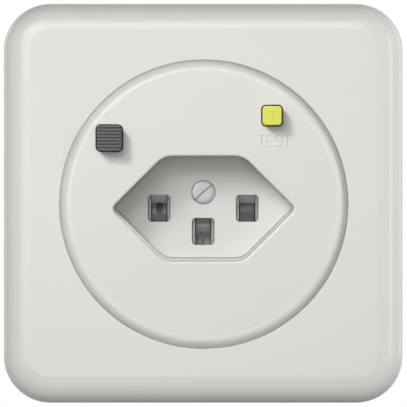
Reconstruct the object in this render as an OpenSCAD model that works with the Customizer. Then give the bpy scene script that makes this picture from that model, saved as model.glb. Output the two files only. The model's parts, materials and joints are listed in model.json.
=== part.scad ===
// Flush wall socket outlet with built-in residual current protection.
// Every piece is drawn as if the outlet lay on its back on a bench: X to the right,
// Y up the wall, Z out of the wall, with z = 0 on the wall's face. stand() then turns
// the piece upright, so that Z points up and the wall lies on the +Y side of y = 0.

/* [Cover frame] */
// Width and height of the square frame
frame_w = 86; // [82:1:100]
// How far the frame's face stands off the wall
frame_h = 10; // [9.5:0.5:13]
// Radius of the frame's four corners, seen from the front
frame_corner_r = 9; // [7:0.5:14]
// Radius that rolls the face over into the sides
frame_edge_r = 6; // [3:0.5:7]
// Wall thickness of the frame
frame_wall = 2; // [1.6:0.1:2.4]
// Chamfer round the frame's opening
opening_chamfer = 0.5; // [0.2:0.1:0.8]
// Thickness of the collar round the opening
collar_t = 1.5; // [1:0.1:2]
// Thickness of the ledge that the centre plate rests on
lip_t = 1.5; // [1:0.1:1.8]
// How far the ledge reaches into the opening
lip_w = 1.85; // [1.6:0.05:2.2]

/* [Centre plate] */
// Diameter of the round centre plate
plate_d = 61.2; // [60:0.2:66]
// Thickness of the plate's skin
plate_t = 2; // [1.8:0.1:2.4]
// Rounding of the plate's rim
plate_edge_r = 1.6; // [0.8:0.1:1.8]
// Gap between the plate and the frame's opening
plate_gap = 0.15; // [0.1:0.05:0.3]
// Thickness of the skirt below the rim
skirt_t = 1.5; // [1:0.1:1.6]
// Depth of the skirt below the skin
skirt_h = 1.5; // [1.2:0.1:2]

/* [Plug recess] */
// Width of the six-sided recess, tip to tip
recess_w = 38.5; // [37:0.5:41]
// Height of the recess
recess_h = 22.6; // [21:0.2:24]
// Depth of the recess
recess_depth = 9.5; // [8.5:0.5:10.5]
// How far the wall leans in from the mouth to the floor
recess_draft = 0.6; // [0.2:0.1:0.8]
// Radius of the four blunt corners
recess_corner_r = 4.5; // [2:0.5:6]
// Radius of the left and right tips
recess_tip_r = 1.2; // [0.9:0.1:3]
// Wall thickness of the recess
recess_wall = 1.5; // [1.2:0.1:2]
// Floor thickness of the recess
recess_floor_t = 2; // [1.8:0.1:2.6]
// How far the recess sits below the plate's centre
recess_drop = 1.1; // [0:0.1:2]

/* [Plug pins] */
// Distance between the line and neutral pins
pin_pitch = 19; // [18.6:0.1:19.6]
// How far the earth pin sits below the other two
earth_drop = 5; // [4.6:0.1:5.6]
// Diameter of a plug pin
pin_d = 4; // [3.8:0.1:4.2]
// Length of a plug pin in front of the plug's face
pin_l = 19; // [18:0.5:21]
// Width of a pin way
pin_way_w = 4.8; // [4.6:0.1:5.2]
// Height of a pin way
pin_way_h = 5.8; // [5.4:0.1:6.2]
// Corner radius of a pin way
pin_way_r = 0.8; // [0.4:0.1:1.2]

/* [Cover screw] */
// Diameter of the screw head in the recess
screw_head_d = 5.2; // [4.8:0.1:5.6]
// Height of the screw head
screw_head_h = 1.2; // [1:0.1:1.4]
// Diameter of the screw's shank
screw_d = 2.9; // [2.5:0.1:3.2]
// How far the screw sits above the plate's centre
screw_y = 2.34; // [2:0.02:2.6]
// Turn of the screwdriver slot
screw_turn = 41; // [0:1:180]
// Outer diameter of the threaded bush
insert_d = 4.4; // [4.2:0.1:5]
// Length of the threaded bush
insert_l = 8; // [6:0.5:10]

/* [Reset button] */
// Side of the square reset button
reset_w = 6; // [5.6:0.1:6.4]
// Corner radius of the reset button
reset_r = 1; // [0.5:0.1:1.5]
// Reset button's place to the left of the centre
reset_x = 20.2; // [20:0.1:20.6]
// Reset button's place above the centre
reset_y = 14; // [13.8:0.1:14.4]
// How far the reset button stands out of the plate
reset_proud = 3.3; // [3:0.1:4]
// Travel of the reset button
reset_travel = 2.5; // [2:0.1:2.8]
// Number of ribs across the reset button
rib_count = 8; // [5:1:9]
// Radius of one rib
rib_r = 0.3; // [0.2:0.05:0.35]

/* [Test button] */
// Side of the square test button
test_w = 4.7; // [4.4:0.1:5]
// Corner radius of the test button
test_r = 0.9; // [0.4:0.1:1.4]
// Test button's place to the right of the centre
test_x = 14.9; // [14.6:0.1:15.2]
// Test button's place above the centre
test_y = 18.8; // [18.6:0.1:19.2]
// How far the test button stands out of the plate
test_proud = 3.3; // [3:0.1:4]
// Travel of the test button
test_travel = 1.5; // [1:0.1:1.8]

/* [Wall fixing] */
// Width and height of the steel strap
strap_w = 71; // [68:0.5:74]
// Thickness of the strap
strap_t = 1.5; // [1:0.1:1.6]
// Corner radius of the strap
strap_corner_r = 6; // [2:0.5:10]
// Distance between opposite wall box screws
fixing_pitch = 60; // [58:0.5:62]
// Width of a fixing slot
fixing_d = 3.8; // [3.2:0.1:4.5]
// Length of a fixing slot
fixing_l = 7; // [5.5:0.5:8]
// Least metal between a fixing slot and the strap's opening
fixing_web = 2; // [1:0.1:2.5]

/* [Housing] */
// Radius of the rear housing
body_r = 29; // [28.6:0.1:30]
// Half of the rear housing's width across its flats
body_half = 25.8; // [25.4:0.1:27]
// Wall thickness of the rear housing
body_wall = 2; // [1.6:0.1:2.4]
// Wall thickness of the front housing's barrel
barrel_wall = 1.6; // [1.2:0.1:1.7]
// Thickness of the front housing's flange on the strap
flange_t = 2; // [1.5:0.1:2]
// How far the flange laps over the strap
flange_lap = 2; // [1:0.1:2.4]
// Thickness of the front housing's deck
deck_t = 2.2; // [1.8:0.1:2.6]
// Radius of a screw column in the rear housing
column_r = 2.6; // [2.2:0.1:2.8]
// Head radius of a housing screw
housing_head_r = 2.2; // [1.8:0.1:2.4]
// Head height of a housing screw
housing_head_h = 1.6; // [1.2:0.1:1.8]
// Shank radius of a housing screw
housing_shank_r = 1.25; // [1:0.05:1.5]
// Length of a housing screw below its head
housing_shank_l = 12; // [8:0.5:16]

/* [Socket contacts] */
// Width of a socket contact
tulip_w = 5.4; // [4.6:0.1:5.6]
// Sheet thickness of a socket contact's arms
tulip_t = 0.7; // [0.5:0.05:0.8]
// Thickness of the conductor strips
strip_t = 0.8; // [0.6:0.1:1]
// Width of a socket contact's pocket
pocket_w = 8; // [7.8:0.1:8.2]
// Height of a socket contact's pocket
pocket_h = 6.6; // [6.4:0.1:6.8]
// Wall round the pockets
pocket_wall = 1.2; // [1:0.1:1.2]
// Radius of a contact rivet
rivet_r = 1.4; // [1:0.1:1.5]
// Height of a contact rivet
rivet_h = 0.6; // [0.4:0.1:0.8]
// Distance between the two contacts that a bridge joins
contact_span = 5.2; // [5:0.1:5.4]

/* [Conductor bars] */
// Thickness of a conductor bar
bar_t = 1.2; // [0.8:0.1:1.3]
// Width of a conductor bar
bar_w = 2.4; // [2:0.1:2.8]

/* [Switching mechanism] */
// Thickness of the contact carrier
carrier_t = 3; // [2.5:0.1:4]
// Radius of a guide pin
guide_r = 1.2; // [1:0.05:1.3]
// Distance of a guide pin from the centre
guide_x = 4.2; // [4:0.1:4.4]
// Width of the rocker
rocker_w = 3; // [2.5:0.1:3.2]
// Radius of the rocker's hub
hub_r = 2.2; // [1.8:0.1:2.4]
// Radius of the rocker's two tips
tip_r = 1; // [0.8:0.1:1.2]
// Radius of the rocker's pin
rocker_pin_r = 1; // [0.8:0.1:1.1]
// Thickness of a lug that holds the rocker's pin
lug_t = 2; // [1.6:0.1:2.2]
// Wire diameter of the springs
wire_d = 0.45; // [0.3:0.05:0.5]

/* [Trip relay] */
// Side of the square relay case
relay_w = 7; // [6.4:0.1:7.4]
// Height of the relay case
relay_h = 8; // [7.6:0.1:9]
// Wall thickness of the relay case
relay_wall = 0.8; // [0.6:0.1:0.9]
// Radius of the relay's plunger
plunger_r = 1; // [0.8:0.05:1.1]
// Radius of the relay's magnet
magnet_r = 2.4; // [1.8:0.1:2.6]
// Height of the relay's magnet
magnet_h = 1.6; // [1.2:0.1:1.8]

/* [Current sensor] */
// Outer radius of the sensor's winding
winding_r = 7.6; // [7.2:0.1:7.8]
// Radius of the hole in the winding
winding_hole_r = 4.4; // [4.3:0.05:4.7]
// Height of the winding
winding_h = 6.2; // [5.6:0.1:6.6]
// Thickness of the wire layer round the core
winding_t = 0.6; // [0.4:0.05:0.8]
// Wall thickness of the sleeve between the winding and the bars
sleeve_t = 0.8; // [0.6:0.1:0.9]

/* [Circuit board] */
// Height of the circuit board
board_w = 18; // [14:0.5:18.5]
// Thickness of the circuit board
board_t = 1.6; // [1.2:0.1:1.7]

/* [Terminals] */
// Distance between neighbouring terminals
terminal_pitch = 9; // [8.6:0.1:10]
// Width of a terminal cage
cage_w = 7; // [6.4:0.1:7.4]
// Height of a terminal cage
cage_h = 6.5; // [6.2:0.1:6.8]
// Depth of a terminal cage
cage_l = 8; // [7:0.1:8.4]
// Wall thickness of a terminal cage
cage_wall = 1.2; // [1:0.1:1.4]
// Radius of a terminal screw
clamp_r = 1.5; // [1.2:0.1:1.6]
// Radius of a wire's way in through the rear wall
wire_r = 1.5; // [1.2:0.05:1.6]

/* [Fits] */
// Gap round a button in its window
button_gap = 0.15; // [0.1:0.05:0.25]
// Gap round a button's stem in the deck
stem_gap = 0.2; // [0.1:0.05:0.3]
// Gap between a pushing piece and the piece that it pushes
push_gap = 0.15; // [0.1:0.05:0.25]
// Radial gap round a pin that something slides or turns on
running_gap = 0.05; // [0.03:0.01:0.1]
// Radial gap round a pin or bush that stays put
seat_gap = 0.03; // [0.02:0.01:0.05]
// Gap between a piece that only lies near another and that piece
loose_gap = 0.3; // [0.2:0.05:0.4]

/* [Hidden] */
$fn = 64;
// Overlap that makes a cut run clear of a face
cut = 0.2;
// Thickness of the layers that a leaning wall is drawn between
layer = 0.01;

// Heights above the wall, from the face of the frame down to the rear wall
face_z = frame_h;
skin_z = face_z - plate_t;
lip_z = skin_z - skirt_h;
lip_back_z = lip_z - lip_t;
recess_z = face_z - recess_depth;
recess_back_z = recess_z - recess_floor_t;
deck_z = recess_back_z - loose_gap;
deck_back_z = deck_z - deck_t;
block_z = recess_z - pin_l - loose_gap;
strip_z = block_z - strip_t;
contact_z = strip_z - rivet_h;
bridge_rivet_z = contact_z - reset_travel - push_gap;
bridge_z = bridge_rivet_z - rivet_h;
carrier_z = bridge_z - strip_t;
carrier_back_z = carrier_z - carrier_t;
tip_z = carrier_back_z - push_gap - tip_r;
// The pivot lies behind the line of the tips, so that both tips pull away as they swing
pivot_drop = 1.7;
pivot_z = tip_z - pivot_drop;
// The tip swings down to here, and the relay's case stays below it
relay_z = tip_z - reset_travel - tip_r - loose_gap - push_gap;
floor_z = relay_z - relay_h;
body_z = floor_z - body_wall;

// Plan sizes of the covers
opening_r = plate_d / 2 + plate_gap;
lip_r = opening_r - lip_w;
rib_t = 1.5;
rib_foot = 0.5;
rib_h = 4.5;
rib_spread = 20;

// Plan sizes of the housings: each is a circle with four flats
body_in_r = body_r - body_wall;
body_in_half = body_half - body_wall;
// A fixing slot starts no nearer to the strap's opening than its web allows
slot_in = max((fixing_pitch - fixing_l) / 2, body_in_half + fixing_web);
slot_out = (fixing_pitch + fixing_l) / 2;
// The strap reaches past its slots
strap_side = max(strap_w, 2 * (slot_out + fixing_web));
barrel_r = body_in_r - stem_gap;
barrel_half = body_in_half - stem_gap;
barrel_in_r = barrel_r - barrel_wall;
barrel_in_half = barrel_half - barrel_wall;
flange_r = barrel_r + flange_lap;
flange_half = barrel_half + flange_lap;
columns = [[0, 16.9], [-15.9, -11], [15.9, -11]];

// Plug pins: line, neutral and earth
socket_y = -recess_drop;
pin_places = [
  [-pin_pitch / 2, socket_y],
  [pin_pitch / 2, socket_y],
  [0, socket_y - earth_drop]
];
throat_half = pin_d / 2 + push_gap;
root_flare = 0.6;
mouth_flare = 0.75;
root_half = pin_d / 2 + root_flare;
mouth_half = pin_d / 2 + mouth_flare;
mouth_z = deck_back_z - loose_gap;
mouth_l = 4;
throat_z = mouth_z - mouth_l;
clip_w = 1.6;
arms_half = root_half + tulip_t;
strip_half = tulip_w / 2;
contact_x = pin_pitch / 2;
// Room on the strips between the pockets and the fixed contacts
strip_run = 2.6;
load_y = socket_y + pocket_h / 2 + pocket_wall + strip_run + rivet_r;
line_y = load_y + contact_span;
bar_out = contact_x + pocket_w / 2 + pocket_wall;
bar_in = bar_out - bar_t;

// Buttons: the flange below the plate is wider than the cap, the stem stands nearer the centre
button_flange_t = 1.2;
button_flange_w = 1.1;
button_flange_z = skin_z - stem_gap;
button_seat_z = button_flange_z - button_flange_t;
reset_stem_w = 2.4;
reset_stem = [-16.4, 10.6];
test_stem_w = 2;
leaf_w = 2.4;
test_stem = [12.4, line_y + rivet_r + stem_gap + leaf_w / 2];
reset_spring_r = reset_stem_w / sqrt(2) + wire_d / 2 + loose_gap;
test_spring_r = test_stem_w / sqrt(2) + wire_d / 2 + loose_gap;
button_turns = 5;

// Rocker: equal arms from the reset stem to the middle of the carrier
rocker_arm = -reset_stem[0] / 2;
pivot_x = -rocker_arm;
rocker_y = reset_stem[1];
arm_t = 1.4 * tip_r;
guide_y = load_y;
guide_edge = 2.6;
bridge_half = rivet_r + loose_gap;
carrier_edge = 0.8;
carrier_half = contact_x + bridge_half + carrier_edge;
opening_turns = 10;
opening_spring_r = guide_r + wire_d / 2 + loose_gap;

// Relay: its plunger stands below the rocker's left arm
plunger_arm = hub_r + relay_w / 2 + loose_gap;
plunger_x = pivot_x - plunger_arm;
plunger_z = tip_z - tip_r - push_gap;
plunger_back_z = relay_z - relay_h / 2;
bobbin_h = 5;

// Test circuit
leaf_t = 0.3;
leaf_drop = 4;
leaf_z = deck_back_z - leaf_drop;
leaf_x = 6;
leaf_l = 10.6;
leaf_rivet_r = 0.6;
leaf_rivet_h = 0.4;
leaf_rivet_x = leaf_x + leaf_l - leaf_rivet_r;
post_l = 2.6;
// The stem's near edge sets how far the leaf swings
leaf_arm = test_stem[0] - leaf_x - test_stem_w / 4;
test_drop = test_travel * leaf_l / leaf_arm;
test_contact_z = leaf_z - leaf_t - leaf_rivet_h - test_drop - push_gap;
test_pillar_l = 4.2;
test_arm_t = 1;
test_arm_z = test_contact_z - test_pillar_l;
resistor_y = 8.5;
resistor_r = 1.3;
resistor_l = 8;
lead_r = 0.35;
lead_l = 1;

// Current sensor, lying on a cradle on the rear wall
sensor_y = -6;
sensor_z = floor_z + winding_r + 2 * loose_gap;
sleeve_r = winding_hole_r - push_gap;
sleeve_over = 1.5;
sleeve_l = winding_h + 2 * sleeve_over;
cradle_w = 10;
cradle_h = 2.5;

// Circuit board, standing on the rear wall
board_x = 19.2;
board_y = 1.5;
board_gap = 4;
board_top_z = deck_back_z - board_gap;
rail_t = 1.2;
rail_h = 3;
rail_w = 10;

// Pieces on the board: height off the board, width up the wall, length, and lower corner
capacitor_h = 5;
capacitor_w = 6;
capacitor_l = 8;
capacitor_y = -7;
capacitor_z = 4;
varistor_h = 2.4;
varistor_r = 3.2;
varistor_y = -3.5;
varistor_z = 19;
rectifier_h = 2.4;
rectifier_w = 5;
rectifier_l = 6;
rectifier_y = 0.5;
rectifier_z = 21;
chip_h = 1.8;
chip_w = 5;
chip_l = 9;
chip_y = 2;
chip_z = 8;

// Terminals
terminal_y = -15.95;
cage_top = terminal_y + cage_h / 2;
tongue_top = cage_top - cage_wall;
tongue_y = tongue_top - bar_t;
tongue_half = cage_w / 2 - cage_wall - loose_gap;
clamp_z = floor_z + cage_l / 2;
clamp_head_r = 2.4;
clamp_head_h = 1.6;
clamp_l = cage_wall + loose_gap;
clamp_slot = 0.7;
cage_foot = terminal_y - cage_h / 2;
clamp_foot = cage_foot - clamp_head_h;
wire_y = cage_foot + cage_wall + wire_r;
terminals = [-terminal_pitch, 0, terminal_pitch];

// Conductor bars, from a terminal through the sensor to the line contact
run_gap = 0.5;
run_y = cage_top + run_gap;
gap_half = 1;
cross_gap = 1.4;
cross_y = sensor_y + sleeve_l / 2 + cross_gap;

// Slot in the cover screw's head
driver_slot_w = 0.8;
driver_slot_d = 0.6;

white = "#e4e4df";
off_white = "#d9d8d2";
grey = "#5c6066";
black = "#2b2928";
yellow = "#dfe35c";
steel = "#c6c4c5";
brass = "#c9a94f";
copper = "#b8733f";
silver = "#d8d8d8";

// Turns a piece from the bench to its place on the wall
module stand() {
  rotate([90, 0, 0]) children();
}

// Box between two limits on each axis
module box(x, y, z) {
  translate([x[0], y[0], z[0]]) cube([x[1] - x[0], y[1] - y[0], z[1] - z[0]]);
}

// Round rod along Z between two heights
module rod(r, z) {
  translate([0, 0, z[0]]) cylinder(r = r, h = z[1] - z[0]);
}

// Flat outline raised between two heights
module slab(z) {
  translate([0, 0, z[0]]) linear_extrude(z[1] - z[0]) children();
}

// Round rod along Y between two places
module cross_rod(r, y) {
  translate([0, y[1], 0]) rotate([90, 0, 0]) cylinder(r = r, h = y[1] - y[0]);
}

module round_rect(w, h, r) {
  square([w, h - 2 * r], center = true);
  square([w - 2 * r, h], center = true);
  for (i = [-1, 1], j = [-1, 1]) translate([i * (w / 2 - r), j * (h / 2 - r)]) circle(r);
}

module slot(d, l) {
  square([l - d, d], center = true);
  for (i = [-1, 1]) translate([i * (l - d) / 2, 0]) circle(d / 2);
}

module body_outline(r, half) {
  intersection() {
    circle(r);
    square(2 * half, center = true);
  }
}

// Section through an edge that rolls over at the top, measured out from a corner's centre
module rolled_edge(h, corner_r, edge_r) {
  square([corner_r, h - edge_r]);
  square([corner_r - edge_r, h]);
  translate([corner_r - edge_r, h - edge_r]) intersection() {
    circle(edge_r);
    square(edge_r);
  }
}

// Square block with round corners whose top edge rolls over into the sides
module soft_block(w, h, corner_r, edge_r) {
  inner = w / 2 - corner_r;
  linear_extrude(h) square(2 * inner, center = true);
  for (k = [0:3]) rotate(90 * k) translate([inner, inner, 0]) {
    rotate([90, 0, 0]) linear_extrude(2 * inner) rolled_edge(h, corner_r, edge_r);
    rotate_extrude(angle = 90) rolled_edge(h, corner_r, edge_r);
  }
}

// Six-sided outline of the recess, grown by a distance: slanted sides at 45 degrees
module recess_outline(grow) {
  a = recess_w / 2 + grow * sqrt(2);
  b = recess_h / 2 + grow;
  blunt = recess_corner_r + grow;
  tip = recess_tip_r + grow;
  flat_end = a - b - blunt * tan(22.5);
  slant_x = a - b + blunt * tan(22.5) / sqrt(2);
  slant_y = b - blunt * tan(22.5) / sqrt(2);
  tip_x = a - tip / sqrt(2);
  tip_y = tip / sqrt(2);
  quarter = [[tip_x, tip_y], [slant_x, slant_y], [flat_end, b]];
  turned = [for (i = [2:-1:0]) [-quarter[i][0], quarter[i][1]]];
  upper = concat(quarter, turned);
  polygon(concat(upper, [for (i = [5:-1:0]) [upper[i][0], -upper[i][1]]]));
  for (i = [-1, 1]) {
    translate([i * (a - tip * sqrt(2)), 0]) circle(tip);
    for (j = [-1, 1]) translate([i * flat_end, j * (b - blunt)]) circle(blunt);
  }
}

// Wire spring along Z between two heights, drawn as one swept tube
module coil_spring(r, z, turns) {
  steps = 8;
  sides = 6;
  rings = steps * turns;
  rise = (z[1] - z[0] - wire_d) / rings;
  start = z[0] + wire_d / 2;
  points = [
    for (i = [0:rings], s = [0:sides - 1])
      let (around = 360 * i / steps, turn = 360 * s / sides)
        [
          (r + wire_d / 2 * cos(turn)) * cos(around),
          (r + wire_d / 2 * cos(turn)) * sin(around),
          start + rise * i + wire_d / 2 * sin(turn)
        ]
  ];
  walls = [
    for (i = [0:rings - 1], s = [0:sides - 1], half = [0, 1])
      let (a = i * sides + s, b = i * sides + (s + 1) % sides)
        half == 0 ? [a, b, b + sides] : [a, b + sides, a + sides]
  ];
  first = [for (s = [1:sides - 2]) [0, s + 1, s]];
  last = [for (s = [1:sides - 2]) [0, s, s + 1] + [1, 1, 1] * rings * sides];
  polyhedron(points, concat(walls, first, last));
}

module cover_frame() {
  rib_reach = frame_w / 2 - frame_wall - strap_side / 2 - loose_gap + cut;
  color(white) stand() difference() {
    union() {
      difference() {
        soft_block(frame_w, frame_h, frame_corner_r, frame_edge_r);
        translate([0, 0, -cut]) soft_block(
          frame_w - 2 * frame_wall,
          frame_h - frame_wall + cut,
          frame_corner_r - frame_wall,
          frame_edge_r - frame_wall
        );
      }
      rod(opening_r + collar_t, [lip_back_z, face_z - frame_wall / 2]);
      for (k = [0:3], side = [-1, 1])
        rotate(90 * k) translate([strap_side / 2 + loose_gap, side * rib_spread - rib_t / 2, rib_foot])
          cube([rib_reach, rib_t, rib_h]);
    }
    rod(opening_r, [lip_z, face_z + cut]);
    rod(lip_r, [lip_back_z - cut, lip_z + cut]);
    translate([0, 0, face_z - opening_chamfer])
      cylinder(r1 = opening_r, r2 = opening_r + opening_chamfer + cut, h = opening_chamfer + cut);
  }
}

// Hollow of the recess: its wall leans in towards the floor
module recess_hollow() {
  translate([0, socket_y, 0]) hull() {
    slab([recess_z, recess_z + layer]) recess_outline(-recess_draft, $fn = 32);
    slab([face_z, face_z + layer]) recess_outline(0, $fn = 32);
  }
}

module plate_rim() {
  edge_r = min(plate_edge_r, plate_t - cut);
  r = plate_d / 2;
  translate([0, skin_z]) square([r, plate_t - edge_r]);
  translate([0, skin_z]) square([r - edge_r, plate_t]);
  translate([r - edge_r, face_z - edge_r]) intersection() {
    circle(edge_r);
    square(edge_r);
  }
}

module centre_plate() {
  color(white) stand() difference() {
    union() {
      rotate_extrude() plate_rim();
      difference() {
        rod(plate_d / 2, [lip_z, skin_z + cut / 2]);
        rod(plate_d / 2 - skirt_t, [lip_z - cut, skin_z]);
      }
      slab([recess_back_z, skin_z + cut / 2]) translate([0, socket_y]) recess_outline(recess_wall);
    }
    recess_hollow();
    for (p = pin_places) translate(p)
      slab([recess_back_z - cut, recess_z + cut]) round_rect(pin_way_w, pin_way_h, pin_way_r);
    translate([0, screw_y, 0]) {
      rod(screw_head_d / 2 + push_gap, [recess_z - screw_head_h, recess_z + cut]);
      rod(screw_d / 2 + stem_gap, [recess_back_z - cut, recess_z]);
    }
    translate([-reset_x, reset_y]) button_window(reset_w, reset_r);
    translate([test_x, test_y]) button_window(test_w, test_r);
  }
}

module button_window(w, r) {
  slab([skin_z - cut, face_z + cut])
    round_rect(w + 2 * button_gap, w + 2 * button_gap, r + button_gap);
}

module cover_screw() {
  color(steel) stand() translate([0, screw_y, 0]) difference() {
    union() {
      rod(screw_head_d / 2, [recess_z - screw_head_h, recess_z]);
      rod(screw_d / 2, [deck_back_z - insert_l, recess_z - screw_head_h]);
    }
    rotate(screw_turn) box(
      [-screw_head_d, screw_head_d],
      [-driver_slot_w / 2, driver_slot_w / 2],
      [recess_z - driver_slot_d, recess_z + cut]
    );
  }
}

module screw_insert() {
  color(brass) stand() translate([0, screw_y, 0]) difference() {
    rod(insert_d / 2, [deck_back_z - insert_l, deck_back_z]);
    rod(screw_d / 2 + seat_gap, [deck_back_z - insert_l - cut, deck_back_z + cut]);
  }
}

module mounting_strap() {
  color(steel) stand() slab([0, strap_t]) difference() {
    round_rect(strap_side, strap_side, strap_corner_r);
    body_outline(body_in_r, body_in_half);
    for (k = [0:3]) rotate(90 * k)
      translate([(slot_in + slot_out) / 2, 0]) slot(fixing_d, slot_out - slot_in);
  }
}

// Blocks behind the deck: pockets for the socket contacts and pedestals for the fixed contacts
module contact_block() {
  for (p = pin_places) translate(p) slab([block_z, deck_back_z])
    square([pocket_w, pocket_h] + 2 * pocket_wall * [1, 1], center = true);
  for (side = [0, 1]) mirror([side, 0, 0]) box(
    [contact_x - strip_half, bar_out],
    [socket_y, line_y + rivet_r],
    [block_z, deck_back_z]
  );
}

module front_housing() {
  flange_z = strap_t + flange_t;
  boss_r = insert_d / 2 + pocket_wall;
  color(off_white) stand() difference() {
    union() {
      difference() {
        union() {
          slab([strap_t, flange_z]) body_outline(flange_r, flange_half);
          slab([deck_back_z, flange_z]) body_outline(barrel_r, barrel_half);
        }
        slab([deck_z, flange_z + cut]) body_outline(barrel_in_r, barrel_in_half);
      }
      contact_block();
      translate([0, screw_y, 0]) rod(boss_r, [deck_back_z - insert_l, deck_back_z + cut]);
      box(
        [leaf_x - loose_gap - post_l, leaf_x - loose_gap],
        [test_stem[1] - leaf_w / 2, test_stem[1] + leaf_w / 2],
        [leaf_z, deck_back_z]
      );
    }
    for (p = pin_places) translate(p) {
      slab([block_z - cut, deck_back_z]) square([pocket_w, pocket_h], center = true);
      slab([deck_back_z - cut, deck_z + cut])
        round_rect(pin_way_w + 2 * stem_gap, pin_way_h + 2 * stem_gap, pin_way_r);
    }
    translate([0, screw_y, 0]) {
      rod(insert_d / 2 + seat_gap, [deck_back_z - insert_l - cut, deck_back_z]);
      rod(screw_d / 2 + stem_gap, [deck_back_z - cut, deck_z + cut]);
    }
    for (p = columns) translate(p)
      rod(housing_shank_r + stem_gap, [deck_back_z - cut, deck_z + cut]);
    for (side = [-1, 1]) translate([side * guide_x, guide_y])
      rod(guide_r + seat_gap, [deck_back_z - cut, deck_z + cut]);
    stem_way(reset_stem, reset_stem_w);
    stem_way(test_stem, test_stem_w);
    button_room([-reset_x, reset_y], reset_w, reset_travel);
    button_room([test_x, test_y], test_w, test_travel);
  }
}

module stem_way(place, w) {
  translate(place) slab([deck_back_z - cut, deck_z + cut]) square(w + 2 * stem_gap, center = true);
}

// Room above the housing's rim for a button's flange when the button is pressed
module button_room(place, w, travel) {
  room = w + 2 * button_flange_w + 2 * loose_gap;
  translate(place) slab([button_seat_z - travel - loose_gap, face_z]) square(room, center = true);
}

module rear_housing() {
  pilot_z = deck_z - housing_shank_l - loose_gap;
  color(grey) stand() difference() {
    union() {
      difference() {
        slab([body_z, 0]) body_outline(body_r, body_half);
        slab([floor_z, cut]) body_outline(body_in_r, body_in_half);
      }
      for (p = columns) translate(p) rod(column_r, [floor_z - cut, deck_back_z]);
      rocker_lugs();
      box(
        [-cradle_w / 2, cradle_w / 2],
        [sensor_y - winding_h / 2, sensor_y + winding_h / 2],
        [floor_z - cut, floor_z + cradle_h]
      );
      for (x = [board_x - rail_t - push_gap, board_x + board_t + push_gap])
        box(
          [x, x + rail_t],
          [board_y - rail_w / 2, board_y + rail_w / 2],
          [floor_z - cut, floor_z + rail_h]
        );
    }
    for (p = columns) translate(p)
      rod(housing_shank_r + seat_gap, [pilot_z, deck_back_z + cut]);
    translate([pivot_x, 0, pivot_z])
      cross_rod(rocker_pin_r + seat_gap, [rocker_y - rocker_w - lug_t, rocker_y + rocker_w + lug_t]);
    translate([0, 0, sensor_z])
      cross_rod(winding_r + push_gap, [sensor_y - winding_h, sensor_y + winding_h]);
    for (x = terminals) {
      translate([x, wire_y]) rod(wire_r, [body_z - cut, floor_z + cut]);
      translate([x, 0, clamp_z]) cross_rod(clamp_head_r, [-body_r, clamp_foot - loose_gap]);
    }
  }
}

// Two lugs on the rear wall that hold the rocker's pin
module rocker_lugs() {
  for (side = [-1, 1]) {
    near = rocker_y + side * (rocker_w / 2 + stem_gap);
    far = near + side * lug_t;
    y = [min(near, far), max(near, far)];
    box([pivot_x - hub_r, pivot_x + hub_r], y, [floor_z - cut, pivot_z]);
    translate([pivot_x, 0, pivot_z]) cross_rod(hub_r, y);
  }
}

module housing_screws() {
  color(steel) stand() for (p = columns) translate(p) {
    rod(housing_head_r, [deck_z, deck_z + housing_head_h]);
    rod(housing_shank_r, [deck_z - housing_shank_l, deck_z + cut]);
  }
}

// One arm of a socket contact, seen from above: narrow at the throat, flared at the mouth
module tulip_arm() {
  polygon([
    [root_half, block_z - cut],
    [throat_half, throat_z],
    [mouth_half, mouth_z],
    [mouth_half + tulip_t, mouth_z],
    [throat_half + tulip_t, throat_z],
    [arms_half, block_z - cut]
  ]);
}

module tulip_arms() {
  translate([0, tulip_w / 2, 0]) rotate([90, 0, 0]) linear_extrude(tulip_w) {
    tulip_arm();
    mirror([1, 0]) tulip_arm();
  }
}

// Flat foot that joins the two arms
module tulip_base() {
  box([-arms_half, arms_half], [-strip_half, strip_half], [strip_z, block_z]);
}

// Socket contact of a live pin, with the strip that carries its fixed contact
module live_tulip(place) {
  color(brass) stand() translate(place) {
    tulip_arms();
    tulip_base();
    box([-strip_half, strip_half], [0, load_y + rivet_r - place[1]], [strip_z, block_z]);
  }
}

module line_tulip() {
  mirror([1, 0, 0]) live_tulip(pin_places[1]);
}

module neutral_tulip() {
  live_tulip(pin_places[1]);
}

// Socket contact of the earth pin, with a strip down to the middle terminal
module earth_tulip() {
  place = pin_places[2];
  color(brass) stand() {
    translate(place) {
      tulip_arms();
      tulip_base();
    }
    box([-strip_half, strip_half], [tongue_y, place[1]], [strip_z, block_z]);
    box([-tongue_half, tongue_half], [tongue_y, tongue_top], [floor_z + loose_gap, block_z]);
  }
}

// Spring clips that press the arms of the three socket contacts together
module tulip_clips() {
  inner_x = throat_half + tulip_t + stem_gap;
  outer_x = pocket_w / 2 - loose_gap;
  inner_y = tulip_w / 2 + push_gap;
  outer_y = pocket_h / 2 - push_gap;
  color(steel) stand() for (p = pin_places) translate(p)
    slab([throat_z - clip_w / 2, throat_z + clip_w / 2]) difference() {
      square(2 * [outer_x, outer_y], center = true);
      square(2 * [inner_x, inner_y], center = true);
    }
}

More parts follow.
